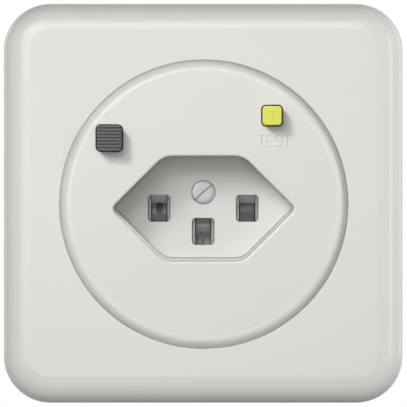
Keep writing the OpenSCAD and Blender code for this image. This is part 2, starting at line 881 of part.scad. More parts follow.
// Conductor from the right-hand terminal through the sensor to the neutral line contact
module live_bar() {
  x = [gap_half, gap_half + bar_t];
  z = [sensor_z - bar_w / 2, sensor_z + bar_w / 2];
  cage_z = floor_z + cage_l + loose_gap;
  riser_z = max(cage_z, z[1] - bar_t);
  riser_x = [bar_in, bar_out];
  tongue_x = [terminal_pitch - tongue_half, terminal_pitch + tongue_half];
  color(copper) stand() {
    box(tongue_x, [tongue_y, tongue_top], [floor_z + loose_gap, riser_z + bar_t]);
    box(tongue_x, [tongue_y, run_y + bar_t], [riser_z, riser_z + bar_t]);
    box([x[0], tongue_x[1]], [run_y, run_y + bar_t], [z[0], riser_z + bar_t]);
    box(x, [run_y, cross_y + bar_t], z);
    box([x[0], bar_out], [cross_y, cross_y + bar_t], z);
    box(riser_x, [cross_y, cross_y + bar_w], [z[0], block_z]);
    box(riser_x, [cross_y, line_y + rivet_r], [strip_z, block_z]);
    box(
      [contact_x - rivet_r, bar_out],
      [line_y - rivet_r, line_y + rivet_r],
      [strip_z, block_z]
    );
  }
}

module line_bar() {
  mirror([1, 0, 0]) live_bar();
}

module neutral_bar() {
  live_bar();
}

module fixed_contacts() {
  color(silver) stand() for (side = [-1, 1], y = [load_y, line_y])
    translate([side * contact_x, y]) rod(rivet_r, [contact_z, strip_z]);
}

// Moving bridge with a contact rivet at each end
module bridge(x) {
  color(copper) stand() translate([x, 0, 0]) {
    box(
      [-bridge_half, bridge_half],
      [load_y - rivet_r, line_y + rivet_r],
      [carrier_z, bridge_z]
    );
    for (y = [load_y, line_y]) translate([0, y]) rod(rivet_r, [bridge_z - layer, bridge_rivet_z]);
  }
}

module line_bridge() {
  bridge(-contact_x);
}

module neutral_bridge() {
  bridge(contact_x);
}

module contact_carrier() {
  color(off_white) stand() difference() {
    box(
      [-carrier_half, carrier_half],
      [guide_y - guide_edge, line_y + rivet_r],
      [carrier_back_z, carrier_z]
    );
    for (side = [-1, 1]) translate([side * guide_x, guide_y])
      rod(guide_r + running_gap, [carrier_back_z - cut, carrier_z + cut]);
  }
}

module guide_pins() {
  color(steel) stand() for (side = [-1, 1]) translate([side * guide_x, guide_y])
    rod(guide_r, [carrier_back_z, deck_z]);
}

module opening_springs() {
  color(steel) stand() for (side = [-1, 1]) translate([side * guide_x, guide_y])
    coil_spring(opening_spring_r, [carrier_z, deck_back_z], opening_turns);
}

// Two-armed lever: the reset stem pushes its left tip, its right tip pushes the carrier
module rocker() {
  color(black) stand() translate([pivot_x, rocker_y + rocker_w / 2, 0]) rotate([90, 0, 0])
    linear_extrude(rocker_w) difference() {
      union() {
        translate([-rocker_arm, tip_z - tip_r]) square([2 * rocker_arm, arm_t]);
        for (side = [-1, 1]) translate([side * rocker_arm, tip_z]) circle(tip_r);
        translate([0, pivot_z]) circle(hub_r);
      }
      translate([0, pivot_z]) circle(rocker_pin_r + running_gap);
    }
}

module rocker_pin() {
  half = rocker_w / 2 + stem_gap + lug_t;
  color(steel) stand() translate([pivot_x, 0, pivot_z])
    cross_rod(rocker_pin_r, [rocker_y - half, rocker_y + half]);
}

module relay_case() {
  color(black) stand() translate([plunger_x, rocker_y, 0]) difference() {
    slab([floor_z, relay_z]) square(relay_w, center = true);
    slab([floor_z - cut, relay_z - relay_wall]) square(relay_w - 2 * relay_wall, center = true);
    rod(plunger_r + stem_gap, [relay_z - relay_wall - cut, relay_z + cut]);
  }
}

module relay_coil() {
  top = relay_z - relay_wall;
  color(copper) stand() translate([plunger_x, rocker_y, 0]) difference() {
    rod(relay_w / 2 - relay_wall - push_gap, [top - bobbin_h, top]);
    rod(plunger_r + stem_gap, [top - bobbin_h - cut, top + cut]);
  }
}

module relay_magnet() {
  color(steel) stand() translate([plunger_x, rocker_y, 0]) rod(magnet_r, [floor_z, floor_z + magnet_h]);
}

module trip_plunger() {
  color(steel) stand() translate([plunger_x, rocker_y, 0]) {
    rod(plunger_r, [plunger_back_z, plunger_z - plunger_r]);
    translate([0, 0, plunger_z - plunger_r]) sphere(plunger_r);
  }
}

// Button cap with a retaining flange below the plate and a stem through the deck
module button_body(place, w, r, top_z) {
  translate(place) slab([button_seat_z, top_z]) round_rect(w, w, r);
  slab([button_seat_z, button_flange_z]) intersection() {
    translate(place) square(w + 2 * button_flange_w, center = true);
    circle(lip_r - loose_gap);
  }
}

// Square stem that ends in a pad, level with the button's flange and joined to it
module button_stem(place, w, pad_w, end_z) {
  translate(place) {
    slab([end_z, button_flange_z]) square(w, center = true);
    slab([button_seat_z, button_flange_z]) square(pad_w, center = true);
  }
}

module reset_button() {
  top_z = face_z + reset_proud - rib_r;
  pitch = (reset_w - 2 * rib_r) / rib_count;
  rib_l = reset_w - 2 * rib_r;
  color(black) stand() {
    button_body([-reset_x, reset_y], reset_w, reset_r, top_z);
    button_stem(reset_stem, reset_stem_w, 2 * reset_spring_r, carrier_back_z);
    for (i = [0:rib_count - 1])
      translate([-reset_x - rib_l / 2, reset_y + (i - (rib_count - 1) / 2) * pitch, top_z])
        rotate([0, 90, 0]) cylinder(r = rib_r, h = rib_l);
  }
}

module reset_spring() {
  color(steel) stand() translate(reset_stem)
    coil_spring(reset_spring_r, [deck_z, button_seat_z], button_turns);
}

module test_button() {
  color(yellow) stand() {
    button_body([test_x, test_y], test_w, test_r, face_z + test_proud);
    button_stem(test_stem, test_stem_w, 2 * test_spring_r, leaf_z + loose_gap);
  }
}

module test_spring() {
  color(steel) stand() translate(test_stem)
    coil_spring(test_spring_r, [deck_z, button_seat_z], button_turns);
}

module test_leaf() {
  color(brass) stand() {
    box(
      [leaf_x, leaf_x + leaf_l],
      [test_stem[1] - leaf_w / 2, test_stem[1] + leaf_w / 2],
      [leaf_z - leaf_t, leaf_z]
    );
    translate([leaf_rivet_x, test_stem[1]])
      rod(leaf_rivet_r, [leaf_z - leaf_t - leaf_rivet_h, leaf_z - leaf_t / 2]);
  }
}

module leaf_anchor() {
  x = [leaf_x - loose_gap - post_l, leaf_x - loose_gap];
  color(brass) stand() {
    box(x, [test_stem[1] - leaf_w / 2, test_stem[1] + leaf_w / 2], [leaf_z - leaf_t, leaf_z]);
    translate([(x[0] + x[1]) / 2, test_stem[1]])
      rod(leaf_rivet_r, [leaf_z - leaf_t - leaf_rivet_h, leaf_z - leaf_t / 2]);
  }
}

// Fixed contact of the test circuit: a pillar below the leaf's tip, an arm to the resistor
module test_contact() {
  half = test_arm_t / 2;
  x = [leaf_rivet_x - half, leaf_rivet_x + half];
  color(brass) stand() {
    box(x, [test_stem[1] - half, test_stem[1] + half], [test_arm_z, test_contact_z]);
    box(x, [resistor_y - half, test_stem[1] + half], [test_arm_z, test_arm_z + test_arm_t]);
  }
}

module test_resistor() {
  top = test_arm_z - lead_l;
  foot = top - resistor_l - lead_l;
  color("#b98f5a") stand() {
    translate([leaf_rivet_x, resistor_y, 0]) {
      rod(resistor_r, [top - resistor_l, top]);
      rod(lead_r, [foot, test_arm_z]);
    }
    box(
      [leaf_rivet_x - lead_r, board_x],
      [resistor_y - lead_r, resistor_y + lead_r],
      [foot - 2 * lead_r, foot]
    );
  }
}

// Ring round the sensor's axis, between two radii
module sensor_ring(r_in, r_out, h) {
  translate([0, sensor_y, sensor_z]) rotate([90, 0, 0]) rotate_extrude()
    translate([r_in, -h / 2]) square([r_out - r_in, h]);
}

module sense_core() {
  t = winding_t + seat_gap;
  color(grey) stand() sensor_ring(winding_hole_r + t, winding_r - t, winding_h - 2 * t);
}

module sense_winding() {
  t = winding_t;
  color(copper) stand() difference() {
    sensor_ring(winding_hole_r, winding_r, winding_h);
    sensor_ring(winding_hole_r + t, winding_r - t, winding_h - 2 * t);
  }
}

module primary_sleeve() {
  color(off_white) stand() sensor_ring(sleeve_r - sleeve_t, sleeve_r, sleeve_l);
}

module circuit_board() {
  color("#2f6b45") stand() box(
    [board_x, board_x + board_t],
    [board_y - board_w / 2, board_y + board_w / 2],
    [floor_z, board_top_z]
  );
}

// A block that stands on the board's inner face, with its lower corner at y and z
module board_block(h, w, l, y, z) {
  translate([board_x - h, y, floor_z + z]) cube([h, w, l]);
}

module capacitor() {
  color("#b7352c") stand()
    board_block(capacitor_h, capacitor_w, capacitor_l, capacitor_y, capacitor_z);
}

module varistor() {
  color("#2c5fa8") stand() translate([board_x - varistor_h, varistor_y, floor_z + varistor_z])
    rotate([0, 90, 0]) cylinder(r = varistor_r, h = varistor_h);
}

module rectifier() {
  color(black) stand()
    board_block(rectifier_h, rectifier_w, rectifier_l, rectifier_y, rectifier_z);
}

module control_chip() {
  color(black) stand() board_block(chip_h, chip_w, chip_l, chip_y, chip_z);
}

module terminal_cages() {
  color(brass) stand() for (x = terminals) translate([x, terminal_y, 0]) difference() {
    slab([floor_z, floor_z + cage_l]) square([cage_w, cage_h], center = true);
    slab([floor_z - cut, floor_z + cage_l + cut])
      square([cage_w, cage_h] - 2 * cage_wall * [1, 1], center = true);
    translate([0, 0, clamp_z]) cross_rod(clamp_r + seat_gap, [-cage_h, 0]);
  }
}

module terminal_screws() {
  color(steel) stand() for (x = terminals) translate([x, 0, clamp_z]) difference() {
    union() {
      cross_rod(clamp_head_r, [clamp_foot, cage_foot]);
      cross_rod(clamp_r, [clamp_foot, cage_foot + clamp_l]);
    }
    box(
      [-clamp_head_r - cut, clamp_head_r + cut],
      [clamp_foot - cut, clamp_foot + clamp_slot],
      [-clamp_slot / 2, clamp_slot / 2]
    );
  }
}

cover_frame();
centre_plate();
cover_screw();
screw_insert();
mounting_strap();
front_housing();
rear_housing();
housing_screws();
line_tulip();
neutral_tulip();
earth_tulip();
tulip_clips();
line_bar();
neutral_bar();
fixed_contacts();
line_bridge();
neutral_bridge();
contact_carrier();
guide_pins();
opening_springs();
rocker();
rocker_pin();
relay_case();
relay_coil();
relay_magnet();
trip_plunger();
reset_button();
reset_spring();
test_button();
test_spring();
test_leaf();
leaf_anchor();
test_contact();
test_resistor();
sense_core();
sense_winding();
primary_sleeve();
circuit_board();
capacitor();
varistor();
rectifier();
control_chip();
terminal_cages();
terminal_screws();
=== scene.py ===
# %% [markdown]
# # A flush wall socket outlet
# The solids of the outlet come in as a fixed frame: each one keeps its place, and what is made here
# is laid over them. All places below are in millimetres, with X to the right, Z up the wall and
# Y into the wall, and they are turned into metres at the moment a vertex is made.

# %% Load the frame
import json
import math
from itertools import pairwise

import bmesh
import bpy
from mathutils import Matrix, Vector


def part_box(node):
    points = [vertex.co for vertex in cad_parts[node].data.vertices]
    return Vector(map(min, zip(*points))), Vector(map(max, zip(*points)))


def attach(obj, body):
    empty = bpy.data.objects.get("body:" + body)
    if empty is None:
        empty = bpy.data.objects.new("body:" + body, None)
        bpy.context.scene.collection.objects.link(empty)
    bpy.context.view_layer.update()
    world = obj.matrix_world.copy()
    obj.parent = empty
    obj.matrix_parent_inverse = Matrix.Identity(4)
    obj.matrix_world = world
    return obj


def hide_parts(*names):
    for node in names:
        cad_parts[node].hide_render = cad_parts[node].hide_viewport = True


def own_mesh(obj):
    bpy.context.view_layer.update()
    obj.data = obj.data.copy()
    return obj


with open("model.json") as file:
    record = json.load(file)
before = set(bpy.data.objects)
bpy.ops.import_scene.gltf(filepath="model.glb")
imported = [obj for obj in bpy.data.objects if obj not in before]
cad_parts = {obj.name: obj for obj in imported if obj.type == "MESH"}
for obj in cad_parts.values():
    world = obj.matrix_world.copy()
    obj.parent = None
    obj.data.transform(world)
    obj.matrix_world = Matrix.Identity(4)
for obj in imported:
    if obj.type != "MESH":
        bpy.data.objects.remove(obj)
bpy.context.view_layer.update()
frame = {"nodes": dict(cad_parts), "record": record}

MM = 0.001
nodes = frame["nodes"]
slot_of = {row["node"]: row["material_slot"] for row in frame["record"]["subparts"]}

# %% [markdown]
# ## Camera
# The outlet is seen straight on, with hardly any perspective, so the camera stands far off with a
# long lens. The width of the view is set so that the frame fills the picture but for a narrow margin.

# %% Camera
VIEW_W, FRAME_SIDE_Y = 87.74, -4
CAMERA_Y, AIM_X, AIM_Z = -3000, 0.06, -0.05


def placed(name, data):
    """New object with the data, put into the scene."""
    obj = bpy.data.objects.new(name, data)
    bpy.context.scene.collection.objects.link(obj)
    return obj


camera_data = bpy.data.cameras.new("camera")
camera_data.lens = camera_data.sensor_width * (FRAME_SIDE_Y - CAMERA_Y) / VIEW_W
camera_data.clip_end = 100
camera = placed("camera", camera_data)
camera.location = Vector((AIM_X, CAMERA_Y, AIM_Z)) * MM
camera.rotation_euler = (math.radians(90), 0, 0)
bpy.context.scene.camera = camera
bpy.context.scene.view_settings.view_transform = "Standard"
print("lens", round(camera_data.lens), "mm")

# %% [markdown]
# ## Light
# A broad lamp stands in front, and two more up and to the left: the small one throws the short, firm
# shadow beside each button, the wide one the long, soft shadow. The frame and the plate's rim are
# lit more evenly, by lamps of their own in front and at the sides, and the gloss lamps show on them
# only as highlights. Lamps behind draw a fine light line along the sides and light the back.
# Strengths are written as shares of white: where the shares and the room come to about one on a
# surface that faces the camera, a colour renders about as it is written.

# %% Lamp helper
LEAST_FACING = 0.3


def lamp(name, slope, distance, size, share, height=None, gloss=True, diffuse=True):
    """Area lamp in the direction slope = (right, out, up), whose light on the front is the share."""
    way = Vector((slope[0], -slope[1], slope[2])).normalized()
    data = bpy.data.lights.new(name, "AREA")
    data.shape = "RECTANGLE"
    data.size, data.size_y = size, height or size
    data.energy = share * math.pi ** 2 * distance ** 2 / max(abs(way.y), LEAST_FACING)
    obj = placed(name, data)
    obj.location = way * distance
    obj.rotation_euler = (-way).to_track_quat("-Z", "Y").to_euler()
    obj.visible_camera = False
    obj.visible_glossy, obj.visible_diffuse = gloss, diffuse
    return obj


# %% Lamps
lamp("front_lamp", (-0.1, 1, 0.1), 1.2, 1.2, 0.345)
corner_lamp = lamp("corner_lamp", (-0.74, 1, 0.87), 0.8, 0.2, 0.33)
upper_lamp = lamp("upper_lamp", (-0.33, 1, 0.46), 0.8, 0.45, 0.22, 0.2)
frame_lamp = lamp("frame_lamp", (-0.16, 1, 0.1), 0.26, 0.25, 0.52, 0.1, gloss=False)
gloss_lamp = lamp("gloss_lamp", (-0.25, 1, 0.58), 0.8, 0.7, 0.29, 0.25, diffuse=False)
ring_lamp = lamp("ring_lamp", (-0.6, 1, 0.8), 0.8, 0.3, 0.06, gloss=False)
left_gloss_lamp = lamp("left_gloss_lamp", (-0.5, 1, 0.3), 0.8, 0.3, 0.17, 0.5, diffuse=False)
side_lamp = lamp("side_lamp", (1, 0.49, 0.05), 0.9, 0.2, 0.12, 0.8)
right_lamp = lamp("right_lamp", (1, -0.06, 0.05), 0.9, 0.3, 0.12, 0.8, gloss=False)
left_lamp = lamp("left_lamp", (-1, 0.02, 0.05), 0.9, 0.3, 0.05, 0.8, gloss=False)
lamp("rim_lamp", (1, -0.65, 0.2), 0.9, 0.15, 0.08, 0.8)
lamp("left_rim_lamp", (-1, -1.1, 0.2), 0.9, 0.12, 0.06, 0.8)
lamp("back_lamp", (0.2, -1, 0.25), 1.2, 0.8, 0.5, gloss=False)
print(len(bpy.data.lights), "lamps")

# %% [markdown]
# ## Node trees
# The room, the finishes and the shapes that repeat are all node trees. In Blender a node is made
# first, and then its inputs are set or linked one by one. These helpers do both in one line for each
# node, so a tree reads from top to bottom in the order in which its values flow.

# %% Node helpers
def feed(tree, node, values):
    """Sets the node's inputs {label or number: value}; a value that is a socket is linked."""
    for label, value in values.items():
        if isinstance(value, bpy.types.NodeSocket):
            tree.links.new(value, node.inputs[label])
        else:
            node.inputs[label].default_value = value


def add(tree, kind, values=None, **settings):
    """New node in the tree, with the named settings and the inputs fed with the values."""
    node = tree.nodes.new(kind)
    for label, value in settings.items():
        setattr(node, label, value)
    feed(tree, node, values or {})
    return node


# %% Value helpers
def maths(tree, operation, *values, **settings):
    """Result of a Math node on the values."""
    return add(tree, "ShaderNodeMath", dict(enumerate(values)), operation=operation, **settings).outputs[0]


def vector(tree, **axes):
    return add(tree, "ShaderNodeCombineXYZ", axes).outputs[0]


def spread(tree, mask, low, high, near=0.3, far=0.7):
    """Value that goes from low to high as the mask goes from near to far."""
    limits = {"From Min": near, "From Max": far, "To Min": low, "To Max": high}
    return add(tree, "ShaderNodeMapRange", {"Value": mask, **limits}).outputs["Result"]


# %% [markdown]
# ## Room
# The room is white to the camera and to what is mirrored in gloss and metal, but its even light on
# dull surfaces is weaker. The Light Path node tells the two apart. Overhead the weaker light fades
# further, as under a dark ceiling, because the top edge of the frame is darker than its sides.

# %% Room
ROOM_LIGHT, CEILING_LIGHT = 0.18, 0.02
CEILING_FROM, CEILING_FULL = 0.3, 0.6


def shown(tree):
    """One for rays from the camera, off gloss and through clear pieces, and zero for dull ones."""
    path = add(tree, "ShaderNodeLightPath").outputs
    seen = maths(tree, "ADD", path["Is Camera Ray"], path["Is Glossy Ray"])
    return maths(tree, "ADD", seen, path["Is Transmission Ray"], use_clamp=True)


world = bpy.data.worlds.new("room")
bpy.context.scene.world = world
world.use_nodes = True
tree = world.node_tree
tree.nodes.clear()
way = add(tree, "ShaderNodeTexCoord")
height = add(tree, "ShaderNodeSeparateXYZ", {0: way.outputs["Generated"]})
dim = spread(tree, height.outputs["Z"], ROOM_LIGHT, CEILING_LIGHT, CEILING_FROM, CEILING_FULL)
level = spread(tree, shown(tree), dim, 1, 0, 1)
backdrop = add(tree, "ShaderNodeBackground", {"Color": (1, 1, 1, 1), "Strength": level})
add(tree, "ShaderNodeOutputWorld", {"Surface": backdrop.outputs[0]})
print("room light", ROOM_LIGHT, "and", CEILING_LIGHT, "overhead")

# %% [markdown]
# ## Shared surface effects
# Real surfaces are never one flat colour. Three effects serve all materials here: the faint grain
# and clouding of moulded plastic, the streaks of rolled or turned metal, and dust that settles on
# what faces up. Each is one node group, placed in a material with that material's own values.

# %% Node group helper
def shader_group(name, inputs, outputs):
    """Empty group with float inputs {label: default} and float outputs, and its two end nodes."""
    group = bpy.data.node_groups.new(name, "ShaderNodeTree")
    for label, default in inputs.items():
        socket = group.interface.new_socket(label, in_out="INPUT", socket_type="NodeSocketFloat")
        socket.default_value = default
    for label in outputs:
        group.interface.new_socket(label, in_out="OUTPUT", socket_type="NodeSocketFloat")
    return group, add(group, "NodeGroupInput"), add(group, "NodeGroupOutput")


def noise(tree, place, scale, detail):
    """Soft random value at each place, finer for a larger scale."""
    values = {"Vector": place, "Scale": scale, "Detail": detail}
    return add(tree, "ShaderNodeTexNoise", values).outputs["Fac"]


# %% Moulded grain
moulded_grain, start, end = shader_group(
    "moulded_grain", {"Cloud Scale": 60, "Grain Scale": 2500}, ["Cloud", "Grain"]
)
place = add(moulded_grain, "ShaderNodeTexCoord").outputs["Object"]
for scale, result, detail in (("Cloud Scale", "Cloud", 3), ("Grain Scale", "Grain", 1)):
    feed(moulded_grain, end, {result: noise(moulded_grain, place, start.outputs[scale], detail)})
print("group", moulded_grain.name)

# %% Metal streaks
TARNISH_SCALE = 140

metal_streaks, start, end = shader_group(
    "metal_streaks", {"Fineness": 900, "Stretch": 0.05}, ["Streak", "Tarnish"]
)
place = add(metal_streaks, "ShaderNodeTexCoord").outputs["Object"]
squeeze = vector(metal_streaks, X=start.outputs["Stretch"], Y=1, Z=1)
drawn = add(metal_streaks, "ShaderNodeVectorMath", {0: place, 1: squeeze}, operation="MULTIPLY")
streak = noise(metal_streaks, drawn.outputs[0], start.outputs["Fineness"], detail=2)
tarnish = noise(metal_streaks, place, TARNISH_SCALE, detail=4)
feed(metal_streaks, end, {"Streak": streak, "Tarnish": tarnish})
print("group", metal_streaks.name)

# %% Settled dust
LEAST_SLOPE = 0.3

settled_dust, start, end = shader_group("settled_dust", {"Amount": 0.1, "Patch Scale": 90}, ["Dust"])
place = add(settled_dust, "ShaderNodeTexCoord").outputs["Object"]
facing = add(settled_dust, "ShaderNodeNewGeometry")
split = add(settled_dust, "ShaderNodeSeparateXYZ", {0: facing.outputs["Normal"]})
upward = spread(settled_dust, split.outputs["Z"], 0, 1, LEAST_SLOPE, 1)
patch = noise(settled_dust, place, start.outputs["Patch Scale"], detail=5)
both = maths(settled_dust, "MULTIPLY", upward, patch)
feed(settled_dust, end, {"Dust": maths(settled_dust, "MULTIPLY", both, start.outputs["Amount"])})
print("group", settled_dust.name)

# %% [markdown]
# ## Materials
# A plastic is a Principled shader whose colour drifts a little with the clouding, takes on dust
# where it faces up, and whose gloss and surface vary with the grain. A metal is the same idea with
# streaks and tarnish. One function makes each family, and a table gives the finishes.

# %% Material helpers
def painted(name):
    """New material with its tree and its Principled shader."""
    material = bpy.data.materials.new(name)
    material.use_nodes = True
    return material, material.node_tree, material.node_tree.nodes["Principled BSDF"]


def blend(tree, mask, low, high):
    """Colour that goes from low to high with the mask; either may be a socket or a colour."""
    mix = add(tree, "ShaderNodeMix", {"Factor": mask}, data_type="RGBA")
    for label, value in (("A", low), ("B", high)):
        feed(tree, mix, {label: (*value, 1) if isinstance(value, tuple) else value})
    return mix.outputs["Result"]


def bumped(tree, height, depth):
    """Normal of a surface that is raised by the height, up to a depth in mm."""
    return add(tree, "ShaderNodeBump", {"Distance": depth * MM, "Height": height}).outputs["Normal"]


def shaded(colour, factor):
    return tuple(min(1.0, c * factor) for c in colour)


# %% Plastic
DUST = (0.55, 0.53, 0.49)


def plastic(
    name, colour, gloss, drift, grain, dust, cloud_scale=60, grain_scale=2500, painted_shade=None, shine=0.5
):
    """Moulded plastic: gloss is the lowest and highest roughness, grain the bump depth in mm.

    Painted shade: what lies deeper than the range (near, far, share) turns darker, down to the share of
    its colour.
    """
    material, tree, shader = painted(name)
    scales = {"Cloud Scale": cloud_scale, "Grain Scale": grain_scale}
    skin = add(tree, "ShaderNodeGroup", scales, node_tree=moulded_grain).outputs
    film = add(tree, "ShaderNodeGroup", {"Amount": dust}, node_tree=settled_dust).outputs
    clouded = blend(tree, skin["Cloud"], shaded(colour, 1 - drift), shaded(colour, 1 + drift))
    # Painted shade: the colour darkens with depth, where shade falls.
    if painted_shade:
        near, far, share = painted_shade
        place = add(tree, "ShaderNodeTexCoord")
        split = add(tree, "ShaderNodeSeparateXYZ", {0: place.outputs["Object"]})
        depth = spread(tree, split.outputs["Y"], 0, 1, near * MM, far * MM)
        clouded = blend(tree, depth, clouded, shaded(colour, share))
    feed(tree, shader, {
        "Base Color": blend(tree, film["Dust"], clouded, DUST),
        "Roughness": spread(tree, skin["Cloud"], *gloss),
        "Normal": bumped(tree, skin["Grain"], grain),
        "Specular IOR Level": shine,
    })
    return material


# %% Metal
SPOTS_FROM, SPOTS_FULL = 0.45, 0.8


def metal(name, colour, gloss, dull, fineness=900, stretch=0.05, grain=0.004):
    """Bare or plated metal: dull is the colour of its tarnish, gloss the range of its roughness."""
    material, tree, shader = painted(name)
    drawn = {"Fineness": fineness, "Stretch": stretch}
    skin = add(tree, "ShaderNodeGroup", drawn, node_tree=metal_streaks).outputs
    spots = spread(tree, skin["Tarnish"], 0, 1, SPOTS_FROM, SPOTS_FULL)
    feed(tree, shader, {
        "Metallic": 1,
        "Base Color": blend(tree, spots, colour, dull),
        "Roughness": spread(tree, skin["Streak"], *gloss),
        "Normal": bumped(tree, skin["Streak"], grain),
    })
    return material


# %% Plastic finishes
WHITE = (0.797, 0.79, 0.762)
# Colour, gloss, drift, grain, dust, and where they differ the scales of cloud and grain.
PLASTICS = {
    "white_plastic": (WHITE, (0.33, 0.36), 0.002, 0.001, 0.01),
    "white_frame": (WHITE, (0.17, 0.2), 0.002, 0.001, 0.01),
    "white_plate": (WHITE, (0.33, 0.36), 0.002, 0.001, 0.01),
    "black_button": ((0.115, 0.11, 0.108), (0.5, 0.58), 0.04, 0.002, 0.02),
    "yellow_button": ((0.79, 0.81, 0.085), (0.25, 0.34), 0.015, 0.002, 0.02),
    "grey_housing": ((0.2, 0.205, 0.215), (0.5, 0.62), 0.06, 0.02, 0.1, 80, 1400),
    "light_housing": ((0.66, 0.65, 0.61), (0.45, 0.55), 0.03, 0.01, 0.1),
    "black_plastic": ((0.03, 0.03, 0.032), (0.4, 0.52), 0.08, 0.01, 0.1),
    "ring_core": ((0.06, 0.06, 0.065), (0.35, 0.5), 0.1, 0.01, 0.05),
    "board_green": ((0.02, 0.15, 0.06), (0.3, 0.45), 0.12, 0.006, 0.06, 300, 4000),
    "capacitor_red": ((0.42, 0.035, 0.025), (0.2, 0.3), 0.05, 0.004, 0.05),
    "varistor_blue": ((0.03, 0.09, 0.34), (0.22, 0.34), 0.05, 0.006, 0.05),
    "resistor_tan": ((0.5, 0.33, 0.16), (0.4, 0.5), 0.05, 0.006, 0.05),
}
# The frame mirrors less. The plate has painted shade deep in its recess, and the yellow cap painted shade
# down its sides.
EXTRAS = {
    "white_frame": {"shine": 0.3},
    # Painted shade in the plate's recess.
    "white_plate": {"painted_shade": (-8, -4, 0.86)},
    # Painted shade down the yellow cap's sides, where the window shades them.
    "yellow_button": {"painted_shade": (-13.1, -12.8, 0.4)},
}
finish = {name: plastic(name, *row, **EXTRAS.get(name, {})) for name, row in PLASTICS.items()}
print(len(finish), "plastics")

# %% Metal finishes
TIN, TIN_TARNISH = (0.33, 0.325, 0.315), (0.27, 0.26, 0.25)
# Colour, gloss, colour of the tarnish, and where they differ fineness, stretch and grain.
METALS = {
    "plated_screw": ((0.38, 0.377, 0.388), (0.5, 0.58), (0.35, 0.347, 0.36), 1500, 0.15, 0.001),
    "zinc_steel": ((0.58, 0.59, 0.6), (0.32, 0.5), (0.44, 0.45, 0.46), 700, 0.06, 0.006),
    "brass": ((0.72, 0.53, 0.2), (0.28, 0.42), (0.5, 0.36, 0.15)),
    "tinned_brass": (TIN, (0.28, 0.42), TIN_TARNISH),
    # A darker tin, painted shade for the line and neutral contacts, which lie in the recess's shadow.
    "shaded_tin": ((0.25, 0.245, 0.236), (0.28, 0.42), (0.21, 0.2, 0.19)),
    "dull_tin": (TIN, (0.62, 0.7), TIN_TARNISH),
    "copper": ((0.75, 0.36, 0.19), (0.28, 0.42), (0.45, 0.21, 0.12)),
    "silver_contact": ((0.78, 0.77, 0.75), (0.2, 0.34), (0.6, 0.58, 0.54)),
    "spring_steel": ((0.42, 0.425, 0.44), (0.28, 0.4), (0.3, 0.29, 0.28)),
}
finish |= {name: metal(name, *row) for name, row in METALS.items()}
print(len(METALS), "metals")

# %% Paint the solids
for name, node in nodes.items():
    node.data.materials.clear()
    node.data.materials.append(finish[slot_of[name]])
print(len(finish), "finishes on", len(nodes), "solids")

# %% [markdown]
# ## Floor
# A plain pale floor lies a little below the outlet. Close by it is dull and keeps the shadow, and
# further out it fades into the white of the room, so that no edge shows.

# %% Floor finish
FLOOR_PALE, FLOOR_DIM = (0.84, 0.84, 0.83), (0.12, 0.12, 0.12)
FLOOR_ROUGH, FADE_LEAST, FADE_FROM, FADE_FULL = 0.9, 0.5, 100, 400

material, tree, shader = painted("pale_floor")
place = add(tree, "ShaderNodeTexCoord")
reach = add(tree, "ShaderNodeVectorMath", {0: place.outputs["Object"]}, operation="LENGTH")
seen = shown(tree)
feed(tree, shader, {"Roughness": FLOOR_ROUGH, "Base Color": blend(tree, seen, FLOOR_DIM, FLOOR_PALE)})
strength = spread(tree, seen, ROOM_LIGHT, 1, 0, 1)
glow = add(tree, "ShaderNodeEmission", {"Color": (1, 1, 1, 1), "Strength": strength})
fade = spread(tree, reach.outputs["Value"], FADE_LEAST, 1, FADE_FROM * MM, FADE_FULL * MM)
melt = add(tree, "ShaderNodeMixShader", {"Fac": fade, 1: shader.outputs[0], 2: glow.outputs[0]})
feed(tree, tree.nodes["Material Output"], {"Surface": melt.outputs[0]})
print("finish", material.name)

# %% Floor
FLOOR_Z, FLOOR_R = -75, 900


def mesh_of(bm, name):
    """Mesh with the faces that were collected, which are then let go."""
    mesh = bpy.data.meshes.new(name)
    bm.to_mesh(mesh)
    bm.free()
    return mesh


bm = bmesh.new()
bmesh.ops.create_circle(bm, cap_ends=True, segments=96, radius=FLOOR_R * MM)
bmesh.ops.translate(bm, verts=bm.verts, vec=(0, 0, FLOOR_Z * MM))
floor = placed("floor", mesh_of(bm, "floor"))
floor.data.materials.append(material)
print("floor", FLOOR_Z, "mm below the middle")

# %% [markdown]
# ## Outlines
# The cover pieces are moulded, with soft edges, so each one is a skin that is laid loop by loop.
# A loop is a flat outline held at one depth. Outlines of one family have the same number of points
# in the same order, so two of them can always be joined by a band of four-sided faces.

# %% Outline helpers
def arc(cx, cz, r, first, last, steps):
    """Points on an arc, both ends included, angles in degrees."""
    turns = [math.radians(first + (last - first) * i / steps) for i in range(steps + 1)]
    return [(cx + r * math.cos(t), cz + r * math.sin(t)) for t in turns]


def between(a, b, count):
    """Points on the straight line from a to b, neither end included."""
    return [
        (a[0] + (b[0] - a[0]) * i / (count + 1), a[1] + (b[1] - a[1]) * i / (count + 1))
        for i in range(1, count + 1)
    ]


def strung(corners, straight):
    """Closed outline through the corners' arcs, with points added along each straight side."""
    points = []
    for corner, following in zip(corners, corners[1:] + corners[:1]):
        points += corner + between(corner[-1], following[0], straight)
    return points


# %% Closed outlines
def round_rect(w, h, r, at=(0, 0), steps=6, straight=1):
    x, z = w / 2 - r, h / 2 - r
    centres = [(x, z), (-x, z), (-x, -z), (x, -z)]
    corners = [
        arc(at[0] + cx, at[1] + cz, r, 90 * k, 90 * k + 90, steps) for k, (cx, cz) in enumerate(centres)
    ]
    return strung(corners, straight)


def circle(r, at=(0, 0), steps=48):
    return arc(at[0], at[1], r, 0, 360, steps)[:-1]


def circle_like(outline, r):
    """Circle whose points lie in the same directions as the outline's."""
    return [(r * x / math.hypot(x, z), r * z / math.hypot(x, z)) for x, z in outline]


def quarter(steps):
    """Sine and cosine pairs over a quarter turn, from 0 to 90 degrees."""
    turns = [math.pi / 2 * i / steps for i in range(steps + 1)]
    return [(math.sin(t), math.cos(t)) for t in turns]


